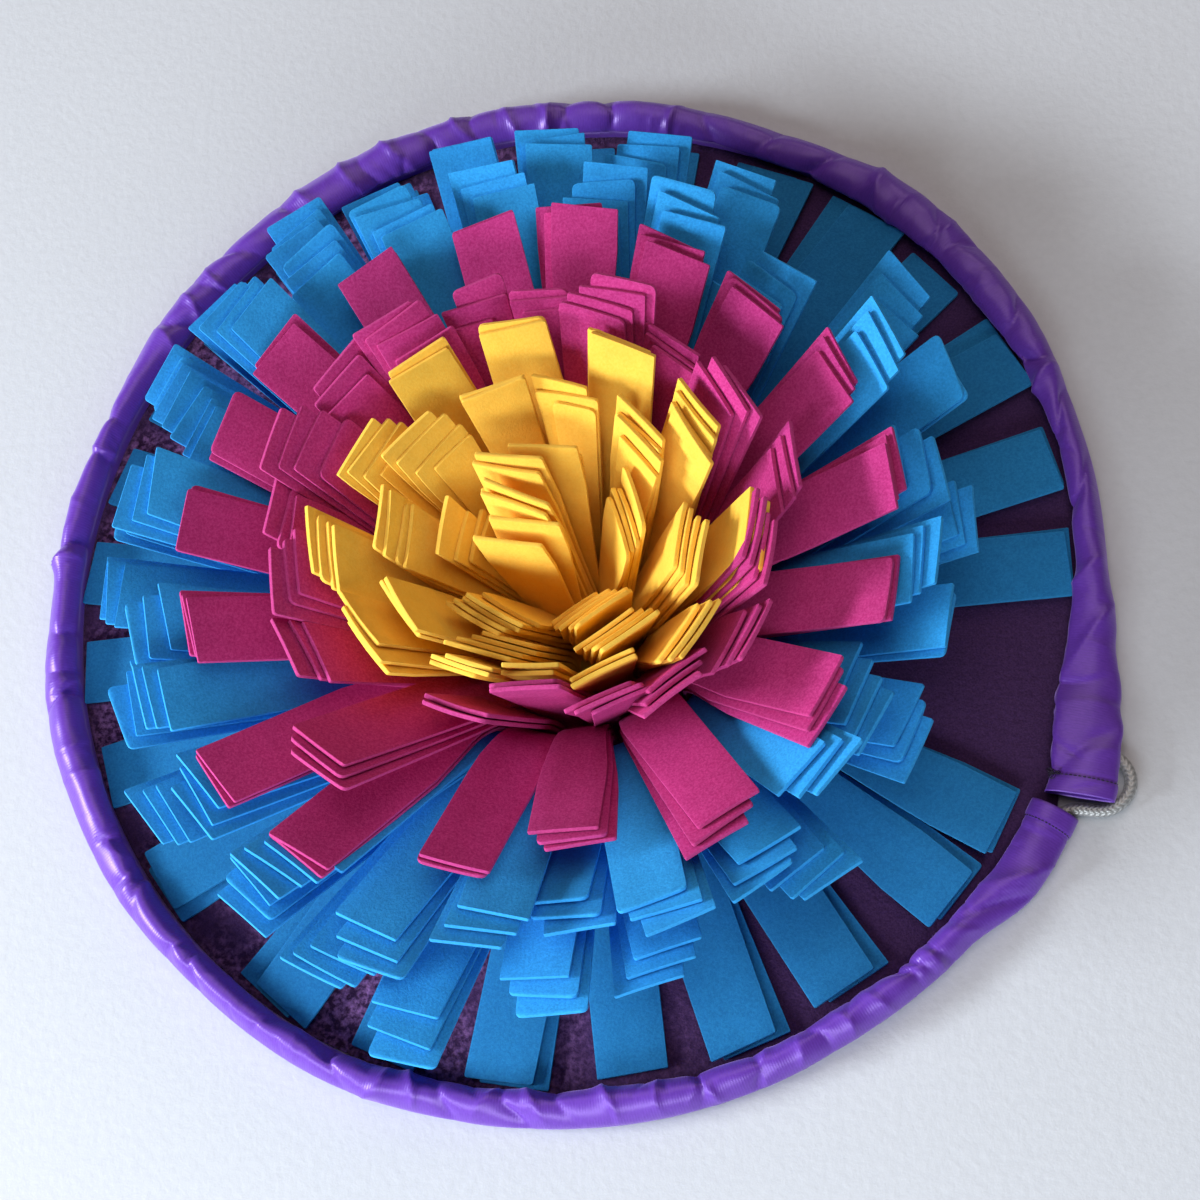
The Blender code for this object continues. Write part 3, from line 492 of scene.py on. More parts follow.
def base_material():
    """Brushed dark purple felt, whose nap is crushed and lighter in patches at the left."""
    material, tree, shader = new_material("purple_base_felt", {
        "Roughness": 0.97, "Specular IOR Level": 0.15, "Sheen Weight": 0.35,
        "Sheen Roughness": 0.4, "Sheen Tint": (0.45, 0.22, 0.45, 1.0)})
    spot = object_spot(tree)
    nap = noise(tree, spot, 330.0, 3.0, 0.65)
    patch = noise(tree, spot, 26.0)
    fibre = noise(tree, spot, 1300.0, 2.0, 0.6)
    crushed = ramp(tree, nap, 0.42, 0.70, (0.034, 0.012, 0.045), (0.290, 0.132, 0.340))
    smooth = ramp(tree, fibre, 0.3, 0.7, (0.034, 0.013, 0.054), (0.062, 0.026, 0.092))
    side = tree.nodes.new("ShaderNodeSeparateXYZ")
    tree.links.new(spot, side.inputs["Vector"])
    left = tree.nodes.new("ShaderNodeMapRange")
    left.inputs["From Min"].default_value = CRUSHED_FROM
    left.inputs["From Max"].default_value = CRUSHED_FULLY
    tree.links.new(side.outputs["X"], left.inputs["Value"])
    where = ramp(tree, patch, 0.30, 0.50, (0, 0, 0), (1, 1, 1))
    where = mix(tree, 1.0, where, left.outputs["Result"], "MULTIPLY")
    tree.links.new(mix(tree, where, smooth, crushed), shader.inputs["Base Color"])
    bump(tree, shader, nap, 0.0012, 0.6)
    return material


def satin_material():
    """Purple lining satin with its fine ribs across the casing."""
    material, tree, shader = new_material("purple_satin", {
        "Roughness": 0.39, "Specular IOR Level": 0.85,
        "Specular Tint": (0.72, 0.55, 1.0, 1.0), "Sheen Weight": 0.5,
        "Sheen Roughness": 0.4, "Sheen Tint": (0.60, 0.40, 1.0, 1.0)})
    chart = tree.nodes.new("ShaderNodeUVMap")
    chart.uv_map = "cloth"
    wide = tree.nodes.new("ShaderNodeMapping")
    wide.inputs["Scale"].default_value = (1.0, 0.25, 1.0)
    tree.links.new(chart.outputs["UV"], wide.inputs["Vector"])
    yarn = noise(tree, wide.outputs["Vector"], 1500.0, 2.0, 0.6)
    ribs = tree.nodes.new("ShaderNodeTexWave")
    ribs.inputs["Scale"].default_value = 285.0
    ribs.inputs["Distortion"].default_value = 0.4
    tree.links.new(chart.outputs["UV"], ribs.inputs["Vector"])
    cloth = ramp(tree, yarn, 0.3, 0.75, (0.114, 0.032, 0.360), (0.150, 0.046, 0.430))
    tree.links.new(cloth, shader.inputs["Base Color"])
    bump(tree, shader, maths(tree, "ADD", ribs.outputs["Fac"], yarn), 0.00008, 0.35)
    return material


def cord_material():
    """Grey braid with silvery yarns, darkened by the painted shade of the gaps between them."""
    material, tree, shader = new_material("silver_cord", {
        "Roughness": 0.38, "Specular IOR Level": 0.7, "Metallic": 0.3})
    fine = noise(tree, object_spot(tree), 3000.0)
    yarn = ramp(tree, fine, 0.3, 0.7, (0.28, 0.285, 0.28), (0.52, 0.525, 0.52))
    cloth = mix(tree, 1.0, yarn, stored(tree, "tone_and_painted_shade").outputs["Color"], "MULTIPLY")
    tree.links.new(cloth, shader.inputs["Base Color"])
    return material


def thread_material():
    """Dark sewing thread."""
    material, tree, shader = new_material("dark_thread", {"Roughness": 0.6})
    fine = noise(tree, object_spot(tree), 4000.0)
    cloth = ramp(tree, fine, 0.3, 0.7, (0.010, 0.005, 0.020), (0.030, 0.016, 0.050))
    tree.links.new(cloth, shader.inputs["Base Color"])
    return material


def floor_material():
    """Pale matt table top with a faint grain."""
    material, tree, shader = new_material("pale_table", {"Roughness": 0.85})
    grain = noise(tree, object_spot(tree), 260.0, 3.0, 0.6)
    cloth = ramp(tree, grain, 0.3, 0.7, (0.585, 0.605, 0.635), (0.615, 0.635, 0.665))
    tree.links.new(cloth, shader.inputs["Base Color"])
    bump(tree, shader, grain, 0.0008, 0.25)
    return material


def make_floor():
    """The table top."""
    corners = [(-FLOOR_HALF, -FLOOR_HALF, 0), (FLOOR_HALF, -FLOOR_HALF, 0),
               (FLOOR_HALF, FLOOR_HALF, 0), (-FLOOR_HALF, FLOOR_HALF, 0)]
    mesh = bpy.data.meshes.new("floor")
    mesh.from_pydata(corners, [], [(0, 1, 2, 3)])
    floor = bpy.data.objects.new("floor", mesh)
    bpy.context.scene.collection.objects.link(floor)
    mesh.materials.append(floor_material())


# ---- shapes of every piece
class Cloth:
    """Gathers the points and faces of one piece, in millimetres."""

    def __init__(self, name):
        self.name = name
        self.points = []
        self.faces = []
        self.tone_and_painted_shade = []
        self.edge = []
        self.chart = []

    def add(self, point, tone_and_painted_shade=(1.0, 1.0, 1.0), edge=0.0, chart=(0.0, 0.0)):
        """Add one point and return its number."""
        self.points.append(tuple(point))
        self.tone_and_painted_shade.append((*tone_and_painted_shade, 1.0))
        self.edge.append(edge)
        self.chart.append(chart)
        return len(self.points) - 1

    def skin(self, rings, flip=False):
        """Join each ring of points to the next. flip: the faces look the other way."""
        for one, two in zip(rings, rings[1:]):
            for i in range(len(one)):
                j = (i + 1) % len(one)
                if flip:
                    self.faces.append((one[i], two[i], two[j], one[j]))
                else:
                    self.faces.append((one[i], one[j], two[j], two[i]))

    def tube(self, rings):
        """Join rings of points and close both ends."""
        self.skin(rings)
        self.faces.append(tuple(rings[0][::-1]))
        self.faces.append(tuple(rings[-1]))

    def finish(self, material, sharp=None):
        """Turn what was gathered into an object that rides on the body."""
        mesh = bpy.data.meshes.new(self.name)
        mesh.from_pydata([tuple(c * MM for c in p) for p in self.points], [], self.faces)
        # each point's tone: the strips' own shades, and painted shade on the flat strips and the
        # cord
        colours = mesh.attributes.new("tone_and_painted_shade", "FLOAT_COLOR", "POINT")
        colours.data.foreach_set("color", [c for tone_and_painted_shade in self.tone_and_painted_shade for c in tone_and_painted_shade])
        edges = mesh.attributes.new("edge", "FLOAT", "POINT")
        edges.data.foreach_set("value", self.edge)
        layer = mesh.uv_layers.new(name="cloth")
        flat = []
        for loop in mesh.loops:
            flat += self.chart[loop.vertex_index]
        layer.data.foreach_set("uv", flat)
        mesh.materials.append(material)
        mesh.shade_smooth()
        if sharp:
            mesh.set_sharp_from_angle(angle=math.radians(sharp))
        piece = bpy.data.objects.new(self.name, mesh)
        bpy.context.scene.collection.objects.link(piece)
        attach(piece, "root")
        return piece


def direction(bearing):
    """Outward and sideways unit vectors of a bearing, seen from above."""
    angle = math.radians(bearing)
    return (math.sin(angle), math.cos(angle)), (math.cos(angle), -math.sin(angle))


def turn_between(one, two):
    """How far bearing one lies clockwise of bearing two, from -180 to 180 degrees."""
    return (one - two + 180.0) % 360.0 - 180.0


def curve_point(corners, share):
    """A point of the smooth curve through four corners, between the middle two."""
    a, b, c, d = corners
    return 0.5 * (2 * b + (c - a) * share + (2 * a - 5 * b + 4 * c - d) * share * share
                  + (3 * b - a - 3 * c + d) * share ** 3)


def frames(points, upward):
    """Each point of a line, with two directions that are square to the line there."""
    last = len(points) - 1
    for i, point in enumerate(points):
        ahead = Vector(points[min(i + 1, last)] - points[max(i - 1, 0)]).normalized()
        side = ahead.cross(upward).normalized()
        yield Vector(point), side, side.cross(ahead)


# ---- the strips
def place(bearing, radius, side, height):
    """A point of the flower, leaned and set where the flower is sewn on."""
    out, across = direction(bearing)
    x = FLOWER_X + radius * out[0] + side * across[0]
    y = FLOWER_Y + radius * out[1] + side * across[1]
    rise = max(0.0, height - SEAM_TOP)
    return (x + LEAN_X * rise, y + LEAN_Y * rise, height)


def ripple(bearing, radius):
    """Gentle unevenness that neighbouring strips share, in millimetres of height."""
    angle = math.radians(bearing)
    far = max(0.0, radius - RIPPLE_FROM) / 130.0
    wave = math.sin(angle * 7 + 0.6) + 0.8 * math.sin(angle * 16 + radius * 0.02)
    return 1.5 * far * wave


def strip_section(wide):
    """The points round a strip's section: (side, reach, whether it is at an edge)."""
    inset = min(EDGE_INSET, wide * 0.3)
    row = (-wide + EDGE_ROUND, -wide + inset, -wide * INNER_SHARE, 0.0,
           wide * INNER_SHARE, wide - inset, wide - EDGE_ROUND)
    section = []
    for side, reaches in ((1, row), (0, (wide,)), (-1, row[::-1]), (0, (-wide,))):
        for reach in reaches:
            section.append((side, reach, side == 0 or abs(reach) > wide - EDGE_ROUND - TINY))
    return section


def strip_end(cloth, ring, flip):
    """Close one end of a strip. Its ring runs over top, right edge, underside and left edge."""
    many = len(ring) // 2 - 1
    top = ring[:many]
    right = ring[many]
    low = ring[many + 1:-1][::-1]
    left = ring[-1]
    caps = [(top[i], top[i + 1], low[i + 1], low[i]) for i in range(many - 1)]
    caps += [(left, top[0], low[0]), (top[-1], right, low[-1])]
    for cap in caps:
        cloth.faces.append(cap[::-1] if flip else cap)


def strip(cloth, stations, half, tone_and_painted_shade, cup, corner, slant, twist=0.0):
    """One strip of felt along its stations, each (point, across, normal, from tip, room).

    cup: how far its middle lies under its edges. corner: radius of the corners of its tip.
    slant: slope of the cut across its tip. twist: slope across it at its tip.
    """
    rings = []
    points = [np.array(station[0]) for station in stations]
    longest = stations[0][3]
    for index, (point, across, normal, from_tip, room) in enumerate(stations):
        one = points[max(0, index - 1)]
        two = points[min(len(points) - 1, index + 1)]
        ahead = (two - one) / np.linalg.norm(two - one)
        wide = min(half, room)
        if from_tip < corner:
            wide -= corner - math.sqrt(max(0.0, corner ** 2 - (corner - from_tip) ** 2))
        at_tip = from_tip < TINY
        thick = FELT / 2 * (TIP_THICKNESS if at_tip else 1.0)
        lean = twist * (1 - from_tip / longest) ** 2
        cut = slant * max(0.0, 1 - from_tip / SLANT_LENGTH)
        ring = []
        for side, reach, at_edge in strip_section(wide):
            bow = cup * ((reach / half) ** 2 - 0.4) + lean * reach
            level = side * (thick - (EDGE_DROP if at_edge else 0.0)) + bow
            # where the painted edge highlight goes: full on the sides and the tip, less where the
            # face rounds over
            mark = 1.0 if side == 0 or at_tip else (0.6 if at_edge else 0.0)
            spot = [point[i] + across[i] * reach + normal[i] * level
                    + ahead[i] * cut * reach for i in range(3)]
            ring.append(cloth.add(spot, tone_and_painted_shade, mark))
        rings.append(ring)
    cloth.skin(rings, flip=True)
    strip_end(cloth, rings[0], False)
    strip_end(cloth, rings[-1], True)


def tip_steps(corner):
    """How far from the tip the last stations of a strip are."""
    return (corner, corner * 0.5, corner * 0.15, 0.0)


def rising_path(round_row, row, over, reach, corner):
    """Middle line of a strip as (radius, height) points from the seam to its tip.

    The strip leaves the seam upright, bends over on an arc, and runs on straight. A bundle
    that reaches further than its round ends higher. over: how far the strip lies over the
    round's lowest one.
    """
    further = row["reach"] - round_row["tip"]
    rise = round_row["height"] + RISE_PER_REACH * further - SEAM_TOP
    run = row["reach"] - round_row["root"]
    slope = math.atan2(rise, run) - math.radians(round_row["bow"])
    drop = rise - run * math.tan(slope)
    bend = drop / (math.cos(slope) - (1 - math.sin(slope)) * math.tan(slope)) + over
    start = round_row["root"] - over
    points = []
    for k in range(BEND_STEPS + 1):
        angle = math.pi / 2 - (math.pi / 2 - slope) * k / BEND_STEPS
        points.append((start + bend * (1 - math.sin(angle)), SEAM_TOP + bend * math.cos(angle)))
    last = points[-1]
    away = max(SHORTEST_REACH, (reach - last[0]) / math.cos(slope))
    steps = [away * share for share in (0.12, 0.28, 0.45, 0.62, 0.78, 0.90)]
    steps += [away - short for short in tip_steps(corner)]
    for along in steps:
        points.append((last[0] + along * math.cos(slope), last[1] + along * math.sin(slope)))
    return points


def headings(line):
    """Unit directions along a line of (radius, height) points, and the lengths to its end."""
    last = len(line) - 1
    along = []
    for i in range(len(line)):
        one = line[max(0, i - 1)]
        two = line[min(last, i + 1)]
        size = math.dist(one, two)
        along.append(((two[0] - one[0]) / size, (two[1] - one[1]) / size))
    left = [0.0]
    for one, two in zip(line[last - 1::-1], line[::-1]):
        left.append(left[-1] + math.dist(one, two))
    return along, left[::-1]


def neighbour_angle(rows, row):
    """Half the angle to the nearer neighbour in a bundle's own tier, in degrees."""
    nearest = 360.0
    for other in rows:
        if other is not row and other["tier"] == row["tier"]:
            nearest = min(nearest, abs(turn_between(other["bearing"], row["bearing"])))
    return nearest / 2


def strip_tone(draw):
    """A slightly different shade for each strip."""
    shade = draw.uniform(0.90, 1.05)
    return (shade * draw.uniform(0.96, 1.04), shade, shade * draw.uniform(0.97, 1.03))


def ring_band(cloth, inner, outer, low, high):
    """The ring of backing that the roots of a round are sewn to."""
    rings = []
    for i in range(BAND_SIDES):
        bearing = 360.0 * i / BAND_SIDES
        ring = []
        for radius, height in ((inner, low), (inner, high), (outer, high), (outer, low)):
            ring.append(cloth.add(place(bearing, radius, 0.0, height), BAND_TONE))
        rings.append(ring)
    cloth.skin(rings + rings[:1])


def raised_stations(line, bearing, spread, lift, near):
    """The stations of a raised strip, from the (radius, height) points of its middle line.

    spread: how far its tip lies aside. lift: how much of its own wave it has. near: half
    the angle to its neighbour.
    """
    out, across = direction(bearing)
    root, end = line[0][0], line[-1][0]
    stations = []
    for (radius, height), (ahead, rise), from_tip in zip(line, *headings(line)):
        share = (radius - root) / (end - root)
        side = spread * share
        wave = ripple(bearing, radius) + 2.0 * lift * share ** 2
        tilt = ripple(bearing + TILT_OVER, radius) - ripple(bearing - TILT_OVER, radius)
        tilt /= 2 * math.radians(TILT_OVER) * max(radius, TILT_FROM)
        room = radius * math.tan(math.radians(near)) - STRIP_GAP - abs(side)
        stations.append((place(bearing, radius, side, height + wave),
                         (across[0], across[1], tilt), (-rise * out[0], -rise * out[1], ahead),
                         from_tip, max(NARROWEST, room)))
    return stations


def raised_round(round_row, draw):
    """One round of raised strips, on its ring of backing."""
    cloth = Cloth(round_row["name"].replace("fringe", "felt"))
    rows = rows_of(BUNDLE_COLUMNS, BUNDLES[round_row["name"]])
    highest = 0.0
    for row in rows:
        near = neighbour_angle(rows, row)
        count = row["strips"] + round_row["more"]
        step = row["step"] if row["strips"] > 1 else draw.uniform(1.0, 2.5)
        fan = row["fan"] if row["strips"] > 1 else draw.uniform(-3.0, 3.0)
        lift = draw.uniform(-0.6, 0.6)
        twist = draw.uniform(-0.06, 0.06)
        cup = draw.uniform(-0.6, 0.8)
        for k in range(count):
            over = round_row["second"] * row["tier"] + k * LAYER_PITCH
            highest = max(highest, over)
            reach = row["reach"] - k * step + draw.uniform(-1.2, 1.2)
            spread = (k - (count - 1) / 2) * fan + draw.uniform(-0.8, 0.8)
            corner = draw.choice((0.5, 0.7, 0.9, 1.2, 2.4))
            line = rising_path(round_row, row, over, reach, corner)
            stations = raised_stations(line, row["bearing"], spread, lift, near)
            strip(cloth, stations, STRIP_WIDTH / 2 - draw.uniform(0.0, 0.7), strip_tone(draw),
                  cup, corner, draw.uniform(-0.10, 0.10), twist)
    edge = FELT / 2 + BAND_MARGIN
    ring_band(cloth, round_row["root"] - highest - edge, round_row["root"] + edge, SEAM_BASE,
              BAND_TOP)
    return cloth


def core_stations(row):
    """The stations of one strip that stands in the middle."""
    out = direction(CORE_BEARING)[0]
    tall = row["tall"] - SEAM_TOP
    shares = [k / CORE_STEPS for k in range(CORE_STEPS)]
    shares += [1 - short / tall for short in tip_steps(CORE_CORNER)]
    line = [(row["foot"] + (row["back"] - row["foot"]) * share ** CORE_BEND,
             SEAM_TOP + tall * share) for share in shares]
    stations = []
    for share, (back, height), (ahead, rise), from_tip in zip(shares, line, *headings(line)):
        side = row["beside"] + (row["side"] - row["beside"]) * share
        turned = direction(CORE_BEARING + row["turn"] * share ** 1.5)[1]
        stations.append((place(CORE_BEARING, back, side, height), (*turned, 0.0),
                         (-rise * out[0], -rise * out[1], ahead), from_tip,
                         CORE_ROOT_HALF + CORE_WIDENING * share))
    return stations


def core_round(draw):
    """The strips that stand in the middle, on their disc of backing."""
    cloth = Cloth("felt_yellow_core")
    for row in rows_of(CORE_COLUMNS, CORE_STRIPS):
        strip(cloth, core_stations(row), STRIP_WIDTH / 2, strip_tone(draw),
              draw.uniform(-0.6, 0.6), CORE_CORNER, draw.uniform(-0.06, 0.06))
    disc = []
    for height in (BAND_TOP, SEAM_BASE):
        disc.append([cloth.add(place(360.0 * i / DISC_SIDES, DISC_RADIUS, 0.0, height))
                     for i in range(DISC_SIDES)])
    cloth.tube(disc)
    return cloth


def flat_stations(row, k, line, near, level, bow):
    """The stations of strip k of a flat bundle, from the radii of its middle line."""
    out, across = direction(row["bearing"])
    spread = math.tan(math.radians(near))
    end = line[-1]
    stations = []
    for radius in line:
        share = (radius - FLAT_ROOT) / (end - FLAT_ROOT)
        room = radius * spread - FLAT_GAP
        side = row["second"] * share if k else 0.0
        if k and row["second"] > 0:
            side = min(side, radius * spread + FLAT_OVER - min(STRIP_WIDTH / 2, room))
        spot = (FLOWER_X + radius * out[0] + side * across[0],
                FLOWER_Y + radius * out[1] + side * across[1],
                level + 0.4 * bow * math.sin(share * 7.0) ** 2)
        stations.append((spot, (*across, 0.0), (0.0, 0.0, 1.0), end - radius, room))
    return stations


def flat_round(draw):
    """The strips that lie on the base."""
    cloth = Cloth("felt_blue_flat")
    rows = rows_of(FLAT_COLUMNS, FLAT_STRIPS)
    for index, row in enumerate(rows):
        before = row["bearing"] - rows[index - 1]["bearing"]
        after = rows[(index + 1) % len(rows)]["bearing"] - row["bearing"]
        near = min(before % 360.0, after % 360.0) / 2
        for k in range(row["strips"]):
            end = row["reach"] - FLAT_STEP * k
            corner = draw.choice((0.5, 0.6, 0.8, 1.2))
            line = [FLAT_ROOT + (end - FLAT_ROOT) * share
                    for share in (0.0, 0.15, 0.3, 0.45, 0.6, 0.75, 0.9)]
            line += [end - short for short in tip_steps(corner)]
            # painted shade: the flat strips' colour is darkened for the shade of the raised strips
            # and the rim over them
            tone_and_painted_shade = [FLAT_PAINTED_SHADE * part for part in strip_tone(draw)]
            level = FLAT_LEVEL + k * (FELT + GAP)
            stations = flat_stations(row, k, line, near, level, draw.uniform(0.0, 0.5))
            strip(cloth, stations, STRIP_WIDTH / 2 - draw.uniform(0.0, 0.5), tone_and_painted_shade, 0.0, corner,
                  draw.uniform(-0.05, 0.05))
    ring_band(cloth, FLAT_BAND_IN, FLAT_BAND_OUT, SEAM_BASE, SEAM_BASE + 2 * FELT + GAP)
    return cloth


# ---- the casing
RIM_ROWS = rows_of(RIM_COLUMNS, RIM_SECTIONS)
RIM_START = RIM_ROWS[0]["bearing"]
RIM_SWEEP = (RIM_ROWS[-1]["bearing"] - RIM_START) % 360.0


def eased(key, turn):
    """Read a rim column at a turn past the lower end, eased between sections."""
    for one, two in zip(RIM_ROWS, RIM_ROWS[1:]):
        low = (one["bearing"] - RIM_START) % 360.0
        high = (two["bearing"] - RIM_START) % 360.0
        if turn <= high:
            share = max(0.0, (turn - low) / (high - low))
            ease = share * share * (3 - 2 * share)
            return one[key] + (two[key] - one[key]) * ease
    return RIM_ROWS[-1][key]


def rim_outline(turn):
    """Corners of the casing's section at a turn, from the inner foot over to the outer."""
    foot, crest, out, high, lap, clear = (eased(key, turn) for key in RIM_COLUMNS[1:])
    thick = high - clear
    return [
        (foot + 1.6, clear),
        (foot, clear + min(1.4, thick * 0.2)),
        (foot + 0.2, clear + max(thick * 0.36, BASE_THICKNESS + 0.8 - clear)),
        (foot - lap, clear + thick * 0.64),
        (foot - lap + (crest - foot + lap) * 0.42, clear + thick * 0.92),
        (crest, high),
        (crest + (out - crest) * 0.5, clear + thick * 0.86),
        (out - 0.8, clear + thick * 0.56),
        (out, clear + thick * 0.28),
        (out - 1.8, clear),
    ]


def round_curve(corners, count):
    """A smooth closed curve through corners: evenly spaced points, the normals there, and
    how far round each lies."""
    fine = []
    many = len(corners)
    for i in range(many):
        four = [np.array(corners[(i + k - 1) % many]) for k in range(4)]
        fine += [curve_point(four, step / 8) for step in range(8)]
    fine = np.array(fine + [fine[0]])
    length = np.concatenate([[0], np.cumsum(np.hypot(*np.diff(fine, axis=0).T))])
    at = np.linspace(0, length[-1], count, endpoint=False)
    points = np.stack([np.interp(at, length, fine[:, i]) for i in range(2)], axis=1)
    along = np.roll(points, -1, axis=0) - np.roll(points, 1, axis=0)
    along /= np.hypot(along[:, 0], along[:, 1])[:, None]
    return points, np.stack([-along[:, 1], along[:, 0]], axis=1), at


def crease_push(bearing, shares):
    """How far the large creases push the cloth out at one bearing, for each share of the
    way from the inner edge to the outer one."""
    push = np.zeros(len(shares))
    for row in rows_of(CREASE_COLUMNS, CREASES):
        out, inner, wide = row["out"], row["inner"], row["wide"]
        if abs(turn_between(bearing, (out + inner) / 2)) > CREASE_SIGHT:
            continue
        curve = 0.8 * math.sin(out * 2.3) * np.sin(math.pi * shares)
        away = turn_between(bearing, inner + (out - inner) * shares + curve) * PER_DEGREE
        steep = wide * (0.40 if out > inner else 1.0)
        gentle = wide * (1.0 if out > inner else 0.40)
        sharp = np.where(away > 0, np.exp(-away / steep), np.exp(away / gentle))
        soft = np.exp(-(away / (wide * 1.5)) ** 2)
        near = shares if math.sin(out * 5.1) > 0 else 1.0 - shares
        fade = np.clip(0.45 + 1.05 * near, 0, 1.35)
        push -= row["deep"] * fade * (0.85 * sharp + 0.35 * soft)
    return push


def small_creases(draw):
    """Short creases between the large ones: (bearing, slant, from share, to share, depth,
    width)."""
    creases = []
    for k in range(SMALL_CREASES):
        start = draw.choice((-0.2, -0.2, 0.25, 0.55))
        creases.append((360.0 * k / SMALL_CREASES + draw.uniform(-1.2, 1.2),
                        draw.uniform(-4.5, 4.5), start, start + draw.uniform(0.45, 0.9),
                        draw.uniform(-0.45, 0.75), draw.uniform(0.8, 1.6)))
    return creases


def small_push(creases, bearing, shares):
    """How far the short creases push the cloth out at one bearing."""
    push = np.zeros(len(shares))
    for at, slant, begin, end, deep, wide in creases:
        if abs(turn_between(bearing, at)) > SMALL_SIGHT:
            continue
        away = turn_between(bearing, at + slant * (shares - 0.5)) * PER_DEGREE
        here = np.clip((shares - begin) / 0.15, 0, 1) * np.clip((end - shares) / 0.15, 0, 1)
        push -= deep * here * np.exp(-np.abs(away) / wide)
    return push


def waves(run, shares, phases, calm):
    """The fine and the loose waves of the cloth, as far round the rim as run says."""
    fine = 0.07 * np.sin(run / 1.9 + shares * 2.5 + phases[0] + 2 * math.sin(run / 17))
    fine *= 0.6 + 0.6 * math.sin(run / 31 + phases[1])
    loose = 0.25 * np.sin(run / 7.5 + shares * 3.0 + phases[2] + 1.5 * math.sin(run / 41))
    loose += 0.55 * np.sin(run / 17.0 - shares * 2.0 + phases[3])
    return fine + loose * calm


def rim_push(turn, corners, points, phases, creases):
    """How far the cloth is pushed out at a turn, for each point of its section."""
    clear, crest = corners[0][1], corners[5]
    inner, outer = corners[3][0], corners[8][0]
    shares = np.clip((points[:, 0] - inner) / (outer - inner), 0, 1)
    up = np.clip((points[:, 1] - clear) / (crest[1] - clear), 0, 1)
    weight = np.where(points[:, 0] < crest[0], np.clip((up - 0.34) * 2.4, 0, 1),
                      np.clip((up - 0.30) * 1.7, 0.08, 1))
    ends = min(turn, RIM_SWEEP - turn) * PER_DEGREE
    hem = 0.35 * (ends < HEM) - 0.45 * math.exp(-((ends - HEM) / 0.9) ** 2)
    bearing = RIM_START + turn
    gathers = crease_push(bearing, shares) * 0.85 + small_push(creases, bearing, shares)
    gathers += waves(turn * PER_DEGREE, shares, phases, min(1.0, 0.25 + ends / 40.0))
    return np.clip(gathers * weight + hem, -DEEPEST_GATHER, HIGHEST_GATHER)


def rim_casing(draw):
    """The gathered satin casing as one thin sheet with two faces, open at both ends, and
    the rings of its outer face. Its waves use the first four of six phases."""
    cloth = Cloth("satin_casing")
    phases = [draw.uniform(0, 6.28) for _ in range(6)]
    creases = small_creases(draw)
    outer, inner = [], []
    for step in range(RIM_STATIONS + 1):
        turn = RIM_SWEEP * step / RIM_STATIONS
        corners = rim_outline(turn)
        points, normals, at = round_curve(corners, RIM_AROUND)
        spots = points + normals * rim_push(turn, corners, points, phases, creases)[:, None]
        spots[:, 1] = np.maximum(spots[:, 1], corners[0][1])
        backs = spots - normals * SATIN
        near_end = max(0.0, 1.0 - (RIM_SWEEP - turn) / END_SLANT_OVER)
        outer.append([])
        inner.append([])
        for spot, back, around in zip(spots, backs, at):
            slant = END_SLANT * near_end * max(0.0, spot[0] - corners[1][0]) / END_WIDTH
            out = direction(RIM_START + turn - slant)[0]
            chart = (turn * PER_DEGREE * MM, around * MM)
            for (radius, height), rings in ((spot, outer), (back, inner)):
                place_on = (radius * out[0], radius * out[1], height)
                rings[-1].append(cloth.add(place_on, chart=chart))
    cloth.skin(outer)
    cloth.skin(inner, flip=True)
    cloth.skin([outer[0], inner[0]], flip=True)
    cloth.skin([outer[-1], inner[-1]])
    return cloth, outer


def thread_along(cloth, points, radius):
    """A thin round thread along points, thinner at both ends."""
    rings = []
    for i, (point, side, over) in enumerate(frames(points, THREAD_UPWARD)):
        thin = radius * (0.5 if i in (0, len(points) - 1) else 1.0)
        ring = []
        for k in range(THREAD_SIDES):
            angle = 2 * math.pi * k / THREAD_SIDES
            ring.append(cloth.add(point + side * math.cos(angle) * thin
                                  + over * math.sin(angle) * thin))
        rings.append(ring)
    cloth.tube(rings)


def stitches(casing, rings, draw):
    """The dark thread of both hems, and the tangle at the upper end's inner corner."""
    cloth = Cloth("hem_stitches")
    back = round(HEM / (RIM_SWEEP * PER_DEGREE / RIM_STATIONS))
    for ring in (rings[back], rings[-1 - back]):
        line = [Vector(casing.points[ring[i]]) for i in STITCHED]
        for one, two in zip(line, line[1:]):
            a = one.lerp(two, STITCH_FROM)
            c = one.lerp(two, STITCH_TO)
            b = (a + c) / 2 + Vector((0, 0, STITCH_BULGE))
            thread_along(cloth, (a, b, c), STITCH_RADIUS)
    corner = Vector(casing.points[rings[-1 - back][TANGLE_AT]]) + Vector((-0.6, 0.4, 0.6))
    for _ in range(TANGLE_LOOPS):
        spot = corner
        heading = Vector((draw.uniform(-1, 1), draw.uniform(-1, 1), 0.2))
        line = [spot]
        for _ in range(TANGLE_STEPS):
            heading += Vector((draw.uniform(-1, 1), draw.uniform(-1, 1), draw.uniform(-0.6, 0.5)))
            heading += (corner - spot) * TANGLE_PULL
            heading.normalize()
            spot = spot + heading * TANGLE_STEP
            spot.z = max(spot.z, TANGLE_LOWEST)
            line.append(spot)
        thread_along(cloth, line, TANGLE_RADIUS)
    return cloth


# ---- base and cord
def base_edge(bearing):
    """Radius of the base's edge. It reaches further out in the mouth of the casing."""
    feet = [eased("foot", (bearing + turn - RIM_START) % 360.0)
            for turn in (-3, -1.5, 0, 1.5, 3)]
    mouth = max(0.0, 1.0 - abs(bearing - MOUTH) / 5.0)
    tongue = max(0.0, 1.0 - abs(bearing - MOUTH - 0.5) / 2.4)
    return min(feet) - 0.3 + 5.2 * min(1.0, mouth * 2.0) + 4.3 * tongue


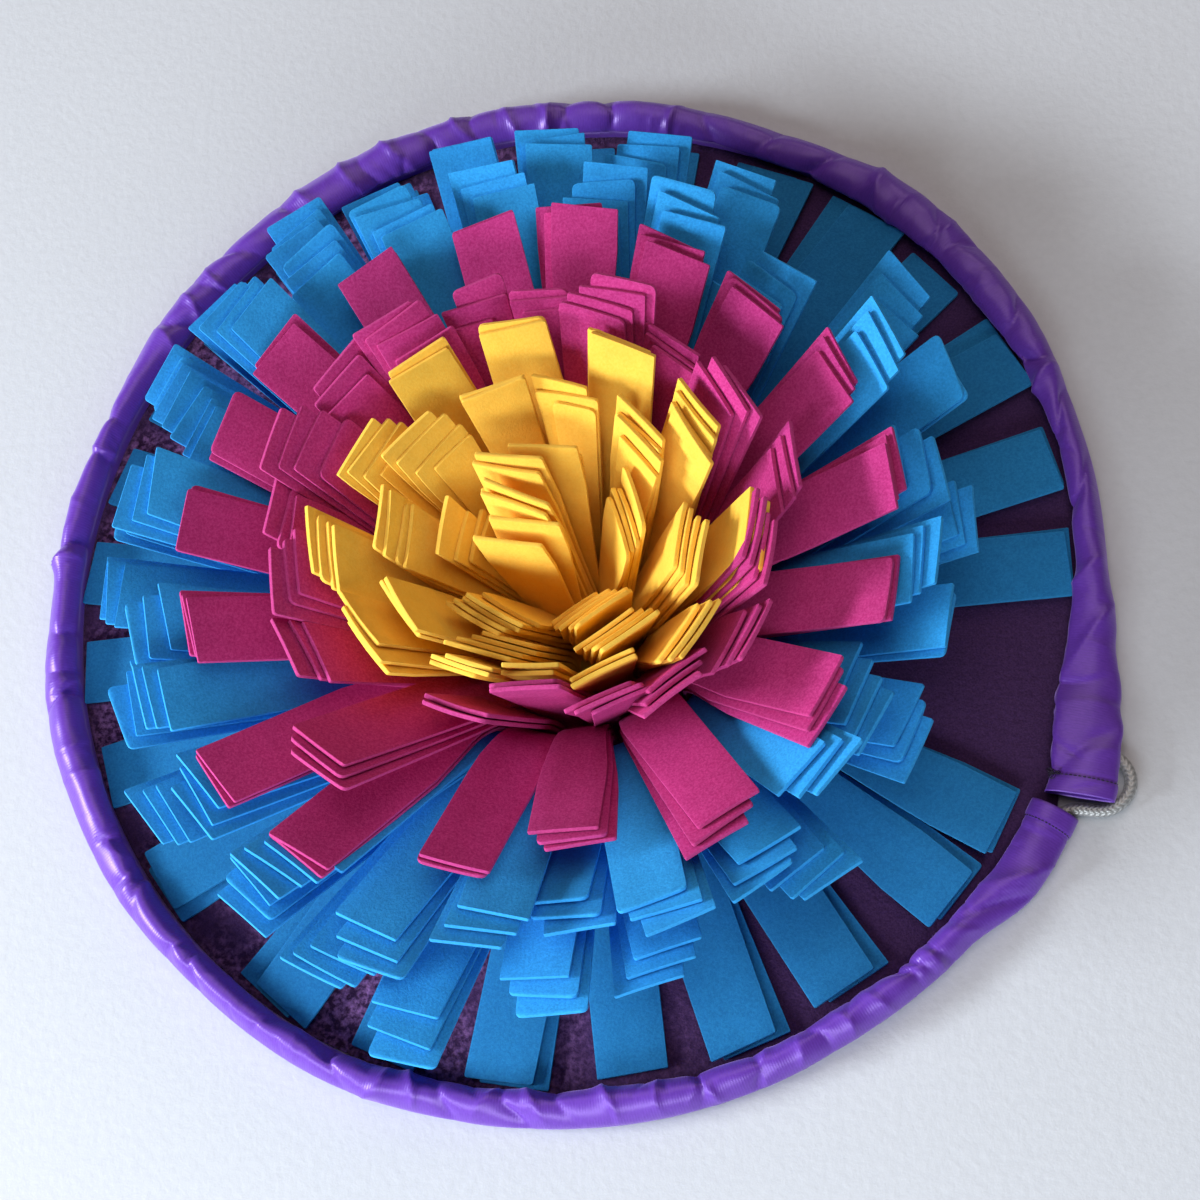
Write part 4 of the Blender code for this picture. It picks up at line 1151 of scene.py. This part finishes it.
def base_felt(draw):
    """The round base of brushed felt, uneven as laid cloth is. It uses three of four phases."""
    cloth = Cloth("felt_base")
    phases = [draw.uniform(0, 6.28) for _ in range(4)]
    bearings = [360.0 * i / BASE_SIDES for i in range(BASE_SIDES)]
    edges = [(base_edge(bearing), direction(bearing)[0]) for bearing in bearings]
    rings = []
    for k in range(1, BASE_RINGS + 1):
        ring = []
        for edge, out in edges:
            radius = edge * k / BASE_RINGS
            x, y = radius * out[0], radius * out[1]
            wave = math.sin(x / 9 + phases[0]) * math.sin(y / 11 + phases[1])
            wave += 0.6 * math.sin(x / 4.1 + y / 7 + phases[2])
            ring.append(cloth.add((x, y, BASE_THICKNESS - BASE_SLACK + BASE_WAVE * wave)))
        rings.append(ring)
    rings.append([cloth.add((*cloth.points[n][:2], 0.0)) for n in rings[-1]])
    cloth.skin(rings)
    centre = cloth.add((0, 0, BASE_THICKNESS - 0.15))
    under = cloth.add((0, 0, 0))
    for i in range(BASE_SIDES):
        j = (i + 1) % BASE_SIDES
        cloth.faces.append((centre, rings[0][j], rings[0][i]))
        cloth.faces.append((under, rings[-1][i], rings[-1][j]))
    return cloth


def smooth_route(points, steps):
    """A smooth line through points."""
    route = [np.array(p, float) for p in points]
    route = [2 * route[0] - route[1]] + route + [2 * route[-1] - route[-2]]
    line = []
    for i in range(len(route) - 3):
        line += [curve_point(route[i:i + 4], step / steps) for step in range(steps)]
    return line + [route[-2]]


def braid(share, run):
    """The cord's surface at a share of the way round it: its radius and its painted shade, darker
    between the yarns.
    """
    column = share * CORD_COLUMNS
    inside = column % 1.0
    lean = inside if int(column) % 2 else 1.0 - inside
    phase = (run / CORD_YARN + lean * 0.9) % 1.0
    ridge = math.sin(math.pi * phase) ** 0.6
    seam = math.sin(math.pi * inside) ** 0.5
    radius = CORD_DIAMETER / 2 - 0.42 + 0.34 * ridge + 0.12 * seam
    # painted shade: darker where the yarns dip between ridges and at the seams of the columns
    return radius, 0.55 + 0.6 * ridge * (0.6 + 0.4 * seam)


def drawstring():
    """The braided cord, with yarns in chevrons, and its middle line."""
    cloth = Cloth("braided_cord")
    line = smooth_route(CORD_ROUTE, CORD_STEPS)
    rings = []
    run = 0.0
    for i, (point, across, over) in enumerate(frames(line, Vector((0, 0, 1)))):
        if i:
            run += float(np.linalg.norm(line[i] - line[i - 1]))
        ring = []
        for k in range(CORD_SIDES):
            angle = 2 * math.pi * k / CORD_SIDES
            # shade is the painted shade of the braid's gaps
            radius, shade = braid(k / CORD_SIDES, run)
            spot = point + across * math.cos(angle) * radius + over * math.sin(angle) * radius
            ring.append(cloth.add(spot, (shade, shade, shade)))
        rings.append(ring)
    cloth.tube(rings)
    return cloth, line


# ---- putting it together
make_camera()
cord_cloth, cord_line = drawstring()
cord = cord_cloth.finish(cord_material())
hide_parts("drawstring")

FELTS = {
    "blue": felt_material("blue_felt", (0.034, 0.378, 0.850), (0.062, 0.470, 0.930),
                          (0.022, 0.280, 0.690)),
    "magenta": felt_material("magenta_felt", (0.560, 0.048, 0.235), (0.680, 0.110, 0.340),
                             (0.420, 0.020, 0.150)),
    "yellow": felt_material("yellow_felt", (0.990, 0.600, 0.080), (0.990, 0.670, 0.130),
                            (0.970, 0.535, 0.055)),
}
draw = random.Random(SEED)
rounds = [(raised_round(row, draw), row["name"], row["colour"])
          for row in rows_of(ROUND_COLUMNS, ROUNDS)]
rounds.append((core_round(draw), "fringe_yellow_core", "yellow"))
rounds.append((flat_round(draw), "fringe_blue_flat", "blue"))
for cloth, node, colour in rounds:
    piece = cloth.finish(FELTS[colour], sharp=SHARP_EDGES)
    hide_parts(node)

base = base_felt(draw).finish(base_material())
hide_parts("base_felt")

casing_cloth, casing_rings = rim_casing(draw)
casing = casing_cloth.finish(satin_material())
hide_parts("rim_casing")
thread = stitches(casing_cloth, casing_rings, draw).finish(thread_material())

make_floor()
make_light()
